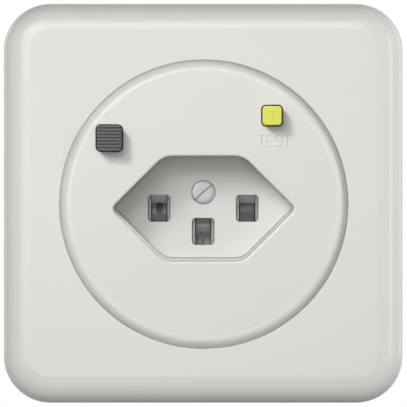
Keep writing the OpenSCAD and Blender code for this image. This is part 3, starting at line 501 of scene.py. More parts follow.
# %% [markdown]
# ## Skins
# A skin collects loops and the faces between them. A flat face with holes is filled by triangles,
# which is safe because it is flat. At the end the faces are turned outwards, and edges that are
# sharper than a limit stay sharp in the shading.

# %% Skin helper
# Edges bent by more degrees than this stay sharp: on most pieces, on crisp ones, on round ones.
SHARP, CRISP, ROUND = 38, 30, 60


class Skin:
    def __init__(self):
        self.bm = bmesh.new()

    def loop(self, outline, y):
        return [self.bm.verts.new((x * MM, y * MM, z * MM)) for x, z in outline]

    def band(self, a, b):
        for i in range(len(a)):
            self.bm.faces.new((a[i - 1], a[i], b[i], b[i - 1]))

    def loft(self, levels, closed=False):
        """Loops for (outline, y) pairs, joined one to the next."""
        loops = [self.loop(outline, y) for outline, y in levels]
        for a, b in pairwise(loops + loops[:1] if closed else loops):
            self.band(a, b)
        return loops

    def fill(self, *loops):
        """Flat face inside the first loop and outside the others."""
        edges = []
        for loop in loops:
            for a, b in pairwise(loop + loop[:1]):
                edges.append(self.bm.edges.get((a, b)) or self.bm.edges.new((a, b)))
        bmesh.ops.triangle_fill(self.bm, use_beauty=True, edges=edges, normal=(0, 1, 0))

    def close(self, loops):
        """Flat faces on the first and the last loop."""
        self.fill(loops[0])
        self.fill(loops[-1])

    def block(self, levels):
        self.close(self.loft(levels))

    def mesh(self, name):
        bmesh.ops.recalc_face_normals(self.bm, faces=self.bm.faces)
        return mesh_of(self.bm, name)

    def piece(self, name, body, slot, sharp=SHARP, stands_for=(), coat=None):
        return settled(self.mesh(name), name, body, slot, sharp, stands_for, coat)


# %% Finished pieces
def settled(mesh, name, body, slot, sharp=SHARP, stands_for=(), coat=None):
    """Mesh as a finished piece: smooth but for its sharp edges, painted, and riding on its body."""
    mesh.polygons.foreach_set("use_smooth", [True] * len(mesh.polygons))
    mesh.set_sharp_from_angle(angle=math.radians(sharp))
    mesh.materials.clear()
    mesh.materials.append(finish[coat or slot])
    obj = placed(name, mesh)
    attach(obj, body)
    if stands_for:
        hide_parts(*stands_for)
    print(name, len(mesh.polygons), "faces")
    return obj


# %% [markdown]
# ## Cover frame
# The frame is a shallow square shell whose edge rolls over in a wide round, with a narrow slanted
# band between the round and the flat. Its section runs from the wall up the outside, over the roll,
# across the face, over the fine edge of the round opening, along the ledge that carries the plate,
# and back up the inside. Close pairs of loops keep the shading of the flats even. Swept round, the
# section closes on itself. The opening lies a hair off the middle, as in the photograph.

# %% Frame outlines
FRAME_W, FRAME_CORNER_R, FRAME_FACE = 86, 10.1, -10
ROLL_R, ROLL_STEPS, FRAME_WALL, FOOT = 6, 16, 2, 0.3
FACET_IN, FACET_OUT, FACET_DROP = 5.5, 4, 0.4
FACET_SOFT, FACET_LIP, FACET_HOLD = 0.3, 0.02, 0.4
OPENING_R, OPENING_EDGE, COLLAR_R, PLATE_AT = 31.1, 0.12, 32.25, (0.12, -0.2)
OPENING_ROUND = ((0.7, 0.05), (0.3, 0.3), (0.05, 0.7), (0, 1))
LEDGE_R, LEDGE_FRONT, LEDGE_BACK = 28.9, -6.5, -5
HOLD = 0.12


def frame_outline(inset):
    side = FRAME_W - 2 * inset
    return round_rect(side, side, FRAME_CORNER_R - inset, steps=20, straight=40)


def opening(r):
    return [(PLATE_AT[0] + x, PLATE_AT[1] + z) for x, z in circle_like(frame_outline(0), r)]


# %% Frame edge and face
facet_w = FACET_IN - FACET_OUT
facet_tilt = math.atan2(FACET_DROP, facet_w)
round_r = FACET_OUT / (1 - math.sin(facet_tilt))
round_y = FRAME_FACE + FACET_DROP + round_r * math.cos(facet_tilt)
levels = [(frame_outline(FOOT), 0), (frame_outline(0), -FOOT), (frame_outline(0), round_y + HOLD)]
for i in range(ROLL_STEPS + 1):
    tilt = math.pi / 2 + (facet_tilt - math.pi / 2) * i / ROLL_STEPS
    inset = round_r * (1 - math.sin(tilt))
    levels.append((frame_outline(inset), round_y - round_r * math.cos(tilt)))
levels += [
    (frame_outline(FACET_OUT + HOLD), FRAME_FACE + FACET_DROP * (1 - HOLD / facet_w)),
    (frame_outline(FACET_IN - FACET_SOFT), FRAME_FACE + FACET_DROP * FACET_SOFT / facet_w),
    (frame_outline(FACET_IN), FRAME_FACE + FACET_LIP),
    (frame_outline(FACET_IN + FACET_SOFT), FRAME_FACE),
    (frame_outline(FACET_IN + FACET_HOLD), FRAME_FACE),
    (opening(OPENING_R + OPENING_EDGE + HOLD), FRAME_FACE),
]
print("edge and face of", len(levels), "loops")

# %% Cover frame
roll_y = FRAME_FACE + ROLL_R
inner_roll = ROLL_R - FRAME_WALL
inner_face = FRAME_FACE + FRAME_WALL
levels += [
    (opening(OPENING_R + OPENING_EDGE * out), FRAME_FACE + OPENING_EDGE * down)
    for out, down in OPENING_ROUND
]
levels += [
    (opening(OPENING_R), LEDGE_FRONT),
    (opening(LEDGE_R), LEDGE_FRONT),
    (opening(LEDGE_R), LEDGE_BACK),
    (opening(COLLAR_R), LEDGE_BACK),
    (opening(COLLAR_R), inner_face),
    (frame_outline(ROLL_R), inner_face),
]
levels += [
    (frame_outline(FRAME_WALL + inner_roll * (1 - c)), roll_y - inner_roll * s)
    for s, c in reversed(quarter(8)[:-1])
]
levels += [(frame_outline(FRAME_WALL), -FOOT), (frame_outline(FRAME_WALL - FOOT), 0)]
skin = Skin()
skin.loft(levels, closed=True)
skin.piece("cover_shell", "outlet", "white_plastic", stands_for=["cover_frame"], coat="white_frame")

# %% [markdown]
# ## Stiffening ribs
# Inside the shell, two short ribs on each side meet the edge of the steel strap and centre the
# frame on it. Eight alike in a regular pattern are a task for Geometry Nodes: two blocks are
# copied to the four points of a ring.

# %% Geometry Nodes helpers
def geometry_tree(name, sizes):
    """New tree with a material input and number inputs {label: default}; gives its two end nodes."""
    tree = bpy.data.node_groups.new(name, "GeometryNodeTree")
    tree.interface.new_socket("Geometry", in_out="INPUT", socket_type="NodeSocketGeometry")
    for label, default in sizes.items():
        kind = "NodeSocketInt" if isinstance(default, int) else "NodeSocketFloat"
        tree.interface.new_socket(label, in_out="INPUT", socket_type=kind).default_value = default
    tree.interface.new_socket("Material", in_out="INPUT", socket_type="NodeSocketMaterial")
    tree.interface.new_socket("Geometry", in_out="OUTPUT", socket_type="NodeSocketGeometry")
    return tree, add(tree, "NodeGroupInput"), add(tree, "NodeGroupOutput")


def swept(tree, path, radius, sides):
    """Round section swept along a path, with both ends closed."""
    section = add(tree, "GeometryNodeCurvePrimitiveCircle", {"Resolution": sides, "Radius": radius})
    values = {"Curve": path, "Profile Curve": section.outputs["Curve"], "Fill Caps": True}
    return add(tree, "GeometryNodeCurveToMesh", values).outputs["Mesh"]


def copied(tree, points, instance, **values):
    """The instance on each of the points."""
    values |= {"Points": points, "Instance": instance}
    return add(tree, "GeometryNodeInstanceOnPoints", values).outputs[0]


def handed_out(tree, shape, start, end):
    """Last steps of every tree: the shape becomes a plain mesh, takes its material and leaves."""
    real = add(tree, "GeometryNodeRealizeInstances", {0: shape})
    values = {"Geometry": real.outputs[0], "Material": start.outputs["Material"]}
    feed(tree, end, {0: add(tree, "GeometryNodeSetMaterial", values).outputs[0]})
    print("tree", tree.name, "of", len(tree.nodes), "nodes")


# %% From tree to mesh
def evaluated(obj):
    """Plain mesh of the object as its modifiers make it."""
    graph = bpy.context.evaluated_depsgraph_get()
    return bpy.data.meshes.new_from_object(obj.evaluated_get(graph), depsgraph=graph)


def grown(tree, name, values, seed_data=None):
    """Plain mesh that the tree makes, from the seed data if any, with the named inputs set."""
    seed = placed(name + "_seed", seed_data or bpy.data.meshes.new("seed"))
    modifier = seed.modifiers.new("grow", "NODES")
    modifier.node_group = tree
    for item in tree.interface.items_tree:
        if item.in_out == "INPUT" and item.name in values:
            modifier[item.identifier] = values[item.name]
    mesh = evaluated(seed)
    mesh.name = name
    seed.modifiers.clear()
    bpy.data.objects.remove(seed)
    return mesh


# %% Stiffening ribs
RIB_FOOT, RIB_TOP = -0.5, -5

sizes = {"Reach": 5.2, "Spread": 20.0, "Thickness": 1.5, "Height": 4.5, "Ring": 38.4}
rib_tree, start, end = geometry_tree(
    "stiffening_ribs", {label: size * MM for label, size in sizes.items()}
)
given = start.outputs
size = vector(rib_tree, X=given["Reach"], Y=given["Thickness"], Z=given["Height"])
block = add(rib_tree, "GeometryNodeMeshCube", {"Size": size})
pair = add(rib_tree, "GeometryNodeJoinGeometry")
for side in (1, -1):
    away = vector(rib_tree, Y=maths(rib_tree, "MULTIPLY", given["Spread"], side))
    moved = {"Geometry": block.outputs["Mesh"], "Translation": away}
    feed(rib_tree, pair, {0: add(rib_tree, "GeometryNodeTransform", moved).outputs[0]})
corners = add(rib_tree, "GeometryNodeMeshCircle", {"Vertices": 4, "Radius": given["Ring"]})
number = add(rib_tree, "GeometryNodeInputIndex")
turn = vector(rib_tree, Z=maths(rib_tree, "MULTIPLY", number.outputs[0], math.pi / 2))
copies = copied(rib_tree, corners.outputs["Mesh"], pair.outputs[0], Rotation=turn)
handed_out(rib_tree, copies, start, end)
mesh = grown(rib_tree, "frame_ribs", {"Material": finish["white_plastic"]})
for v in mesh.vertices:
    x, z, depth = v.co
    v.co = (x, (RIB_FOOT + RIB_TOP) / 2 * MM - depth, z)
settled(mesh, "frame_ribs", "outlet", "white_plastic", CRISP)

# %% [markdown]
# ## Centre plate
# The plate is a round disc with a soft rim, and the six-sided plug recess is sunk into it. On the
# way down the recess wall has a fine ledge, where the thin face ends and the cup begins. The floor
# of the cup has three pin ways and the seat of the screw, and the face has two button windows. The
# rim is a ring of its own, because it shares the frame's finish and light.

# %% Recess outline
RECESS_W, RECESS_H, RECESS_AT = 39.5, 22.4, (0.12, -1.2)
RECESS_BLUNT_R, RECESS_TIP_R = 4.5, 1.2
CORNER_STEPS, SIDE_STEPS = 8, 5


def recess(grow, lift=0):
    """Six-sided outline with slanted sides at 45 degrees, grown by a distance and moved up."""
    a = RECESS_W / 2 + grow * math.sqrt(2)
    b = RECESS_H / 2 + grow
    blunt, tip = RECESS_BLUNT_R + grow, RECESS_TIP_R + grow
    tip_x = a - tip * math.sqrt(2)
    flat_x = a - b - blunt * math.tan(math.radians(22.5))
    flat_z = b - blunt
    corners = [
        (tip_x, 0, tip, -45, 45),
        (flat_x, flat_z, blunt, 45, 90),
        (-flat_x, flat_z, blunt, 90, 135),
        (-tip_x, 0, tip, 135, 225),
        (-flat_x, -flat_z, blunt, 225, 270),
        (flat_x, -flat_z, blunt, 270, 315),
    ]
    cx, cz = RECESS_AT[0], RECESS_AT[1] + lift
    return strung([arc(cx + x, cz + z, *turn, CORNER_STEPS) for x, z, *turn in corners], SIDE_STEPS)


# %% Plate face and rim
PLATE_R, PLATE_FACE, PLATE_BACK = 31.09, -10, -8
RING_W, RING_ROUND, RING_TILT, RING_STEPS = 2.3, 1.4, 59, 12
SKIRT_R, SKIRT_END = 29.1, -6.5


def ring(r):
    return circle(r, PLATE_AT, steps=192)


ring_r = RING_ROUND / math.sin(math.radians(RING_TILT))
ring_end = PLATE_FACE + RING_ROUND * math.tan(math.radians(RING_TILT / 2))
ring_end += (RING_W - RING_ROUND) * math.tan(math.radians(RING_TILT))
disc_r = PLATE_R - RING_W - HOLD
levels = [(ring(disc_r), PLATE_BACK), (ring(disc_r), PLATE_FACE)]
for i in range(RING_STEPS + 1):
    tilt = math.radians(RING_TILT * i / RING_STEPS)
    outward = PLATE_R - RING_W + ring_r * math.sin(tilt)
    levels.append((ring(outward), PLATE_FACE + ring_r * (1 - math.cos(tilt))))
levels += [
    (ring(PLATE_R), ring_end),
    (ring(PLATE_R), ring_end + HOLD),
    (ring(PLATE_R), SKIRT_END),
    (ring(SKIRT_R), SKIRT_END),
    (ring(SKIRT_R), PLATE_BACK),
]
skin = Skin()
skin.loft(levels, closed=True)
skin.piece("plate_ring", "outlet", "white_plastic", coat="white_frame")
skin = Skin()
rim_loops = skin.loft([(ring(disc_r), PLATE_FACE), (ring(disc_r), PLATE_BACK)])

# %% Recess wall
CUP_FLOOR, CUP_BACK, CUP_WALL, CUP_EASE = -0.5, 1.5, 1.5, 0.4
RIM_R, RIM_AT, LEDGE_DEPTH, SEAM = 0.5, 0.1, -7.6, 0.45
# How far the outline is grown and moved up at each depth, from the thin face down to the floor.
WALL = [
    (0.08, 0, LEDGE_DEPTH + SEAM),
    (-0.08, 0.13, LEDGE_DEPTH + SEAM),
    (-0.08, 0.13, LEDGE_DEPTH + 0.03),
    (-0.1, 0.14, LEDGE_DEPTH),
    (-0.16, 0.2, LEDGE_DEPTH),
    (-0.18, 0.21, LEDGE_DEPTH + 0.03),
    (-0.2, 0.22, CUP_FLOOR + SEAM),
    (-0.36, 0.34, CUP_FLOOR + SEAM),
    (-0.36, 0.34, CUP_FLOOR + 0.05),
    (-0.39, 0.36, CUP_FLOOR),
    (-0.39 - HOLD, 0.36, CUP_FLOOR),
]
wall = [(recess(RIM_AT + RIM_R + HOLD), PLATE_FACE)]
wall += [(recess(RIM_AT + RIM_R * (1 - s)), PLATE_FACE + RIM_R * (1 - c)) for s, c in quarter(8)]
wall += [(recess(grow, lift), y) for grow, lift, y in WALL]
wall_loops = skin.loft(wall)
cup = [
    (recess(CUP_WALL), PLATE_BACK),
    (recess(CUP_WALL), CUP_BACK - CUP_EASE),
    (recess(CUP_WALL - CUP_EASE), CUP_BACK),
]
cup_loops = skin.loft(cup)
print("recess wall of", len(wall_loops), "loops")

# %% Pin ways, screw seat and button windows
PIN_WAY_W, PIN_WAY_H, PIN_WAY_R, PIN_WAY_EDGE = 4.8, 5.8, 0.8, 0.12
PIN_WAYS = [(-9.5, -1.1), (9.5, -1.1), (0, -6.1)]
SCREW_AT, SCREW_HEAD_R, SCREW_HEAD_H, SCREW_R = (0.05, 2.34), 2.52, 1.3, 1.5
SEAT_GAP, SEAT_EDGE, SCREW_PLAY = 0.07, 0.08, 0.2
RESET_AT, RESET_W, RESET_R = (-20.2, 14), 5.44, 0.9
TEST_AT, TEST_W, TEST_R = (14.83, 18.85), 4.2, 0.75
WINDOW_GAP, WINDOW_EDGE = 0.26, 0.04


def eased(size, edge, top, bottom):
    """Levels of a hole through a flat: a fine rounded edge at the top, then straight down."""
    levels = [(size(edge + HOLD), top)]
    levels += [(size(edge * (1 - s)), top + edge * (1 - c)) for s, c in quarter(3)]
    return levels + [(size(0), bottom)]


def pin_way(at):
    return lambda grow: round_rect(PIN_WAY_W + 2 * grow, PIN_WAY_H + 2 * grow, PIN_WAY_R + grow, at)


def window(at, w, r):
    side = w + 2 * WINDOW_GAP
    return lambda grow: round_rect(side + 2 * grow, side + 2 * grow, r + WINDOW_GAP + grow, at)


ways = [skin.loft(eased(pin_way(at), PIN_WAY_EDGE, CUP_FLOOR, CUP_BACK)) for at in PIN_WAYS]
windows = [
    skin.loft(eased(window(at, w, r), WINDOW_EDGE, PLATE_FACE, PLATE_BACK))
    for at, w, r in ((RESET_AT, RESET_W, RESET_R), (TEST_AT, TEST_W, TEST_R))
]
seat_r, way_r = SCREW_HEAD_R + SEAT_GAP, SCREW_R + SCREW_PLAY
seat_floor = CUP_FLOOR + SCREW_HEAD_H
seat = eased(lambda grow: circle(seat_r + grow, SCREW_AT), SEAT_EDGE, CUP_FLOOR, seat_floor)
seat += [(circle(way_r, SCREW_AT), seat_floor), (circle(way_r, SCREW_AT), CUP_BACK)]
seat_loops = skin.loft(seat)
print(len(ways), "pin ways,", len(windows), "windows, one screw seat")

# %% Close the plate
skin.fill(rim_loops[0], wall_loops[0], *[w[0] for w in windows])
skin.fill(wall_loops[-1], seat_loops[0], *[w[0] for w in ways])
skin.fill(rim_loops[-1], cup_loops[0], *[w[-1] for w in windows])
skin.fill(cup_loops[-1], seat_loops[-1], *[w[-1] for w in ways])
skin.piece("socket_plate", "outlet", "white_plastic", stands_for=["centre_plate"], coat="white_plate")

# %% [markdown]
# ## Socket contacts
# Behind each pin way stands a tulip: two sprung arms whose rounded noses show as two light bars at
# the sides of the hole. A sloping web joins the arms on the side where the strip leaves, and leads
# the pin in; on the earth contact it is five tongues side by side, a duller piece of its own. The
# foot ties both arms together at the back, and the left one has a shallow pocket with a slanted
# floor. The arms are strips bent along their length, so each is a block lofted through its bends.

# %% Arms and webs
NOSE_Y, ARM_T, ARM_GAP, ARM_W = 4.3, 0.7, 3.36, 5.4
# Half the thickness at the round nose, and the sideways bend behind it, by the distance back.
NOSE = [(0, 0.36), (0.03, 0.43), (0.12, 0.5)]
BOW = [(0.8, -0.04), (2.2, -0.1), (4, -0.14), (6, -0.05), (9, 0.3), (14.6, 0.75)]
WEB_FRONT, WEB_BACK, WEB_T = 4.7, 11, 0.5


def plate_at(x0, x1, z0, z1):
    return [(x1, z0), (x1, z1), (x0, z1), (x0, z0)]


def arm(skin, at, side):
    """One sprung arm: a strip with a round nose, narrowest a little behind it."""
    mid = (ARM_GAP + ARM_T) / 2
    places = [(NOSE_Y + back, mid, ARM_T * half) for back, half in NOSE]
    places += [(NOSE_Y + back, mid + shift, ARM_T / 2) for back, shift in BOW]
    levels = []
    for y, x, half in places:
        middle = at[0] + side * x
        levels.append((plate_at(middle - half, middle + half, at[1] - ARM_W / 2, at[1] + ARM_W / 2), y))
    skin.block(levels)


def web(skin, at, up, reach, falls):
    """Sloping lead-in on one side: tongues side by side that come in by the reach and fall back."""
    edge = at[1] + up * ARM_W / 2
    tongue = ARM_GAP / len(falls)
    for i, fall in enumerate(falls):
        x0 = at[0] - ARM_GAP / 2 + tongue * i
        levels = []
        for y, inward in ((WEB_FRONT, 0), (WEB_FRONT + fall, reach), (WEB_BACK, reach)):
            near = sorted((edge - up * inward, edge - up * (inward - WEB_T)))
            levels.append((plate_at(x0, x0 + tongue, *near), y))
        skin.block(levels)


print("arms of", len(NOSE) + len(BOW), "bends")

# %% Contact helpers
FOOT_Y, FOOT_T, FOOT_OUT, FOOT_CORNER = 18.8, 0.8, 0.85, 0.3
POCKET_CORNER, POCKET_DEPTH, POCKET_SLANT = 0.1, 0.36, 0.27
STRIP_SINK, STRIP_LAP = 0.02, 0.3


def tulip(name, at, up, reach, falls, strip, pocket=None, coat=None, lead_coat=None):
    """Contact that stands for the solid: two arms, a lead-in, a foot and the strips that leave it."""
    skin = Skin()
    for side in (-1, 1):
        arm(skin, at, side)
    lead = Skin() if lead_coat else skin
    web(lead, at, up, reach, falls)
    if lead_coat:
        lead.piece(name.replace("tulip", "lead_in"), "outlet", "tinned_brass", CRISP, coat=lead_coat)
    foot = round_rect(ARM_GAP + 2 * (ARM_T + FOOT_OUT), ARM_W, FOOT_CORNER, at)
    levels = [(foot, FOOT_Y), (foot, FOOT_Y + FOOT_T)]
    if pocket:
        eye = round_rect(*pocket, POCKET_CORNER, at)
        levels = [(eye, FOOT_Y + POCKET_DEPTH), (eye, FOOT_Y)] + levels
    loops = skin.loft(levels)
    if pocket:
        for v in loops[0]:
            v.co.y -= (at[1] + pocket[1] / 2 - v.co.z / MM) / pocket[1] * POCKET_SLANT * MM
    skin.close(loops)
    for outline, front, back in strip:
        skin.block([(outline, front), (outline, back)])
    skin.piece(name.replace("tulip", "socket_contact"), "outlet", "tinned_brass", CRISP, [name], coat)


def flat_strip(name, at, up):
    """The flat strip from the foot to the end of the solid: its outline, front and back."""
    low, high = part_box(name)
    z = sorted((at[1] + up * (ARM_W / 2 - STRIP_LAP), (high.z if up > 0 else low.z) / MM))
    outline = plate_at(at[0] - ARM_W / 2, at[0] + ARM_W / 2, *z)
    return outline, FOOT_Y + STRIP_SINK, FOOT_Y + FOOT_T - STRIP_SINK


# %% Socket contacts
POCKET = (1.36, 2.5)
TAIL_W, TAIL_T, TAIL_SINK = 3, 1.2, 0.1
LEAD_REACH, LEAD_FALLS = 1.5, [0.45]
EARTH_REACH, EARTH_FALLS = 2.0, [1.2, 1.1, 1.2, 1.1, 1.2]

line_at, neutral_at, earth_at = PIN_WAYS
# The line and neutral contacts take the darker tin as painted shade.
for name, at, pocket in (("line_tulip", line_at, POCKET), ("neutral_tulip", neutral_at, None)):
    strip = [flat_strip(name, at, 1)]
    tulip(name, at, 1, LEAD_REACH, LEAD_FALLS, strip, pocket, "shaded_tin")
earth_low, earth_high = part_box("earth_tulip")
tail = earth_low.z / MM
drop = plate_at(-TAIL_W / 2, TAIL_W / 2, tail, tail + TAIL_T)
strip = [flat_strip("earth_tulip", earth_at, -1), (drop, FOOT_Y + TAIL_SINK, earth_high.y / MM)]
tulip("earth_tulip", earth_at, -1, EARTH_REACH, EARTH_FALLS, strip, lead_coat="dull_tin")

# %% [markdown]
# ## Cover screw
# The screw sits level with the floor of the recess. Its head is slightly crowned with a turned
# edge, and a driver slot is milled across it. The slot is a true cut, made with a Boolean, because
# its shaded side is what makes it read as a slot. A fine bevel then breaks the cut's edges.

# %% Cutting helper
def eased_mesh(obj, width, segments, limit):
    """Plain mesh of the object, with edges sharper than the limit rounded over a width in mm."""
    ease = obj.modifiers.new("ease", "BEVEL")
    ease.width = width * MM
    ease.segments = segments
    ease.limit_method = "ANGLE"
    ease.angle_limit = math.radians(limit)
    return evaluated(obj)


def cut_out(skin, cutter, name, width):
    """Mesh of the skin with the cutter's space taken out and its sharp edges eased."""
    body = placed(name, skin.mesh(name))
    tool = placed(name + "_cutter", cutter.mesh(name + "_cutter"))
    cut = body.modifiers.new("cut", "BOOLEAN")
    cut.object = tool
    cut.solver = "EXACT"
    mesh = eased_mesh(body, width, segments=2, limit=50)
    for obj in (body, tool):
        bpy.data.objects.remove(obj)
    return mesh


# %% Cover screw
CROWN, SLOT_W, SLOT_DEPTH, SLOT_TURN, SLOT_EASE = 0.04, 0.32, 0.8, 41, 0.03
SLOT_HALF, SLOT_ABOVE = 4, 1
# The turned edge, by the distance in from the side and down, and the crown, by shares.
HEAD_EDGE = [(0, 0.16), (0.05, 0.06), (0.16, 0)]
HEAD_CROWN = [(0.6, 0.6), (0.25, 1)]
SCREW_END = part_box("cover_screw")[1].y / MM


def head(r):
    return circle(r, SCREW_AT, steps=64)


def turned(x, z, angle):
    """Place on the head, turned about the screw's axis."""
    c, s = math.cos(angle), math.sin(angle)
    return SCREW_AT[0] + x * c - z * s, SCREW_AT[1] + x * s + z * c


skin = Skin()
levels = [(head(SCREW_R), SCREW_END), (head(SCREW_R), seat_floor), (head(SCREW_HEAD_R), seat_floor)]
levels += [(head(SCREW_HEAD_R - inward), CUP_FLOOR + down) for inward, down in HEAD_EDGE]
levels += [(head(SCREW_HEAD_R * share), CUP_FLOOR - CROWN * rise) for share, rise in HEAD_CROWN]
skin.block(levels)
cutter = Skin()
slot_box = [(-SLOT_HALF, -SLOT_W / 2), (SLOT_HALF, -SLOT_W / 2)]
slot_box += [(SLOT_HALF, SLOT_W / 2), (-SLOT_HALF, SLOT_W / 2)]
slot_box = [turned(x, z, math.radians(SLOT_TURN)) for x, z in slot_box]
cutter.block([(slot_box, CUP_FLOOR - SLOT_ABOVE), (slot_box, CUP_FLOOR + SLOT_DEPTH)])
mesh = cut_out(skin, cutter, "slotted_screw", SLOT_EASE)
settled(mesh, "slotted_screw", "outlet", "plated_screw", CRISP, ["cover_screw"])

# %% [markdown]
# ## Buttons
# Each button is a cap that stands through its window, with a flange behind the plate that stops it
# from falling out and a stem that reaches into the mechanism. The caps taper a little, as moulded
# parts do, so a narrow dark side shows all round. Cap, flange and stem are closed skins of one piece.

# %% Button helpers
CAP_TAPER, CAP_EDGE, CAP_ROOT, CAP_CORNER = 0.06, 0.15, 0.1, 0.6
FLANGE_TOP, FLANGE_BACK, FLANGE_W, FLANGE_R, FLANGE_LIMIT = -7.8, -6.6, 1.1, 0.6, 28.6
PAD_OUT, PAD_R, PAD_SINK = 2, 0.4, 0.05
STEM_R, STEM_ROOT = 0.2, 0.2


def within(outline, limit):
    """Outline cut off by a circle round the middle of the plate."""
    cut = []
    for x, z in outline:
        share = min(1, limit / math.hypot(x, z))
        cut.append((x * share, z * share))
    return cut


def button(at, w, r, top, stem_at, stem_w, stem_end):
    """Skin of a button whose cap narrows by the taper on each side towards its top."""
    skin = Skin()

    def cap(inset):
        return round_rect(w - 2 * inset, w - 2 * inset, r - inset * CAP_CORNER, at, steps=8, straight=3)

    levels = [(cap(0), FLANGE_TOP + CAP_ROOT), (cap(0), PLATE_FACE), (cap(CAP_TAPER), top + CAP_EDGE)]
    levels += [
        (cap(CAP_TAPER + CAP_EDGE * (1 - c)), top + CAP_EDGE * (1 - s)) for s, c in quarter(5)[1:]
    ]
    levels += [(cap(CAP_TAPER + CAP_EDGE + HOLD), top)]
    skin.block(levels)
    side = w + 2 * FLANGE_W
    flange = within(round_rect(side, side, FLANGE_R, at, straight=24), FLANGE_LIMIT)
    skin.block([(flange, FLANGE_TOP), (flange, FLANGE_BACK)])
    pad = round_rect(stem_w + PAD_OUT, stem_w + PAD_OUT, PAD_R, stem_at)
    skin.block([(pad, FLANGE_TOP + PAD_SINK), (pad, FLANGE_BACK - PAD_SINK)])
    stem = round_rect(stem_w, stem_w, STEM_R, stem_at)
    skin.block([(stem, FLANGE_TOP + STEM_ROOT), (stem, stem_end)])
    return skin


# %% [markdown]
# ## Reset button
# Eight soft ribs run across the black cap, so that a finger finds its grip. They are one rib that
# Geometry Nodes draws along a line, thins out at both ends and copies up the face. The first and
# the last rib are shorter, because the corners of the cap are round.

# %% Rib tree
RIB_COUNT, RIB_PITCH, RIB_LENGTH, RIB_R = 8, 0.707, 5.1, 0.3
RIB_POINTS, RIB_SIDES = 60, 16
# Thickness of a rib along its length, both as shares.
RIB_ENDS = ((0, 0.1), (1, 0.1))
RIB_SWELL = ((0.03, 0.75), (0.07, 1), (0.93, 1), (0.97, 0.75))

grip_tree, start, end = geometry_tree("grip_ribs", {
    "Count": RIB_COUNT, "Pitch": RIB_PITCH * MM, "Length": RIB_LENGTH * MM, "Radius": RIB_R * MM,
})
given = start.outputs
left, right = (
    vector(grip_tree, X=maths(grip_tree, "MULTIPLY", given["Length"], side)) for side in (-0.5, 0.5)
)
line = add(grip_tree, "GeometryNodeCurvePrimitiveLine", {"Start": left, "End": right})
values = {"Curve": line.outputs["Curve"], "Count": RIB_POINTS}
fine = add(grip_tree, "GeometryNodeResampleCurve", values)
along = add(grip_tree, "GeometryNodeSplineParameter")
swell = add(grip_tree, "ShaderNodeFloatCurve", {"Value": along.outputs["Factor"]})
points = swell.mapping.curves[0].points
for point, location in zip(points, RIB_ENDS):
    point.location = location
for location in RIB_SWELL:
    points.new(*location)
swell.mapping.update()
values = {"Curve": fine.outputs["Curve"], "Radius": swell.outputs["Value"]}
thick = add(grip_tree, "GeometryNodeSetCurveRadius", values)
rib = swept(grip_tree, thick.outputs["Curve"], given["Radius"], RIB_SIDES)
print("rib with", len(points), "points of swell")

# %% Rib copies
SHORT_FROM, SHORT_FULL, SHORT_SHARE = 0.45, 0.5, 0.93

values = {"Count": given["Count"], "Offset": vector(grip_tree, Z=given["Pitch"])}
row = add(grip_tree, "GeometryNodeMeshLine", values)
number = add(grip_tree, "GeometryNodeInputIndex")
last = maths(grip_tree, "SUBTRACT", given["Count"], 1)
share = maths(grip_tree, "DIVIDE", number.outputs[0], last)
outer = maths(grip_tree, "ABSOLUTE", maths(grip_tree, "SUBTRACT", share, 0.5))
short = spread(grip_tree, outer, 1, SHORT_SHARE, SHORT_FROM, SHORT_FULL)
shrink = vector(grip_tree, X=short, Y=1, Z=1)
handed_out(grip_tree, copied(grip_tree, row.outputs["Mesh"], rib, Scale=shrink), start, end)

# %% Reset button
RESET_FACE, RESET_STEM_AT, RESET_STEM_W = -13, (-16.4, 10.6), 2.4
RESET_STEM_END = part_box("reset_button")[1].y / MM

skin = button(RESET_AT, RESET_W, RESET_R, RESET_FACE, RESET_STEM_AT, RESET_STEM_W, RESET_STEM_END)
skin.piece("ribbed_button", "reset_button", "black_button", stands_for=["reset_button"])
mesh = grown(grip_tree, "button_ribs", {"Material": finish["black_button"]})
first_rib = Vector((RESET_AT[0], RESET_FACE, RESET_AT[1] - RIB_PITCH * (RIB_COUNT - 1) / 2)) * MM
for v in mesh.vertices:
    v.co += first_rib
settled(mesh, "button_ribs", "reset_button", "black_button", ROUND)

# %% [markdown]
# ## Test button
# The yellow cap is smooth and a little smaller. It is made like the black one, without ribs.

# %% Test button
TEST_FACE, TEST_STEM_AT, TEST_STEM_W = -13.2, (12.4, 15.4), 2
TEST_STEM_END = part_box("test_button")[1].y / MM

skin = button(TEST_AT, TEST_W, TEST_R, TEST_FACE, TEST_STEM_AT, TEST_STEM_W, TEST_STEM_END)
skin.piece("yellow_cap", "test_button", "yellow_button", stands_for=["test_button"])

# %% [markdown]
# ## Raised marks
# Below the yellow button stands the plain word for what it does, and its first letter is on the cap:
# fine raised lines in the mould, hardly higher than a hair. Each line is a path, and Geometry Nodes
# sweeps a small round section along it, half sunk into the surface.

# %% Mark tree
MARK_SIDES = 12

mark_tree, start, end = geometry_tree("raised_marks", {"Radius": 0.14 * MM, "Spacing": 0.12 * MM})
given = start.outputs
values = {"Curve": given["Geometry"], "Length": given["Spacing"]}
fine = add(mark_tree, "GeometryNodeResampleCurve", values, mode="LENGTH")
line = swept(mark_tree, fine.outputs["Curve"], given["Radius"], MARK_SIDES)
handed_out(mark_tree, line, start, end)


# %% Mark helper
def marks(name, strokes, y, radius, body, slot):
    """Raised lines along strokes of (x, z) points at one depth."""
    curve = bpy.data.curves.new(name, "CURVE")
    curve.dimensions = "3D"
    for stroke in strokes:
        spline = curve.splines.new("POLY")
        spline.points.add(len(stroke) - 1)
        for point, (x, z) in zip(spline.points, stroke):
            point.co = (x * MM, y * MM, z * MM, 1)
    mesh = grown(mark_tree, name, {"Radius": radius * MM, "Material": finish[slot]}, curve)
    return settled(mesh, name, body, slot, ROUND)


# %% Letters
BAR_AT, BAR_SHARE = 0.53, 0.88


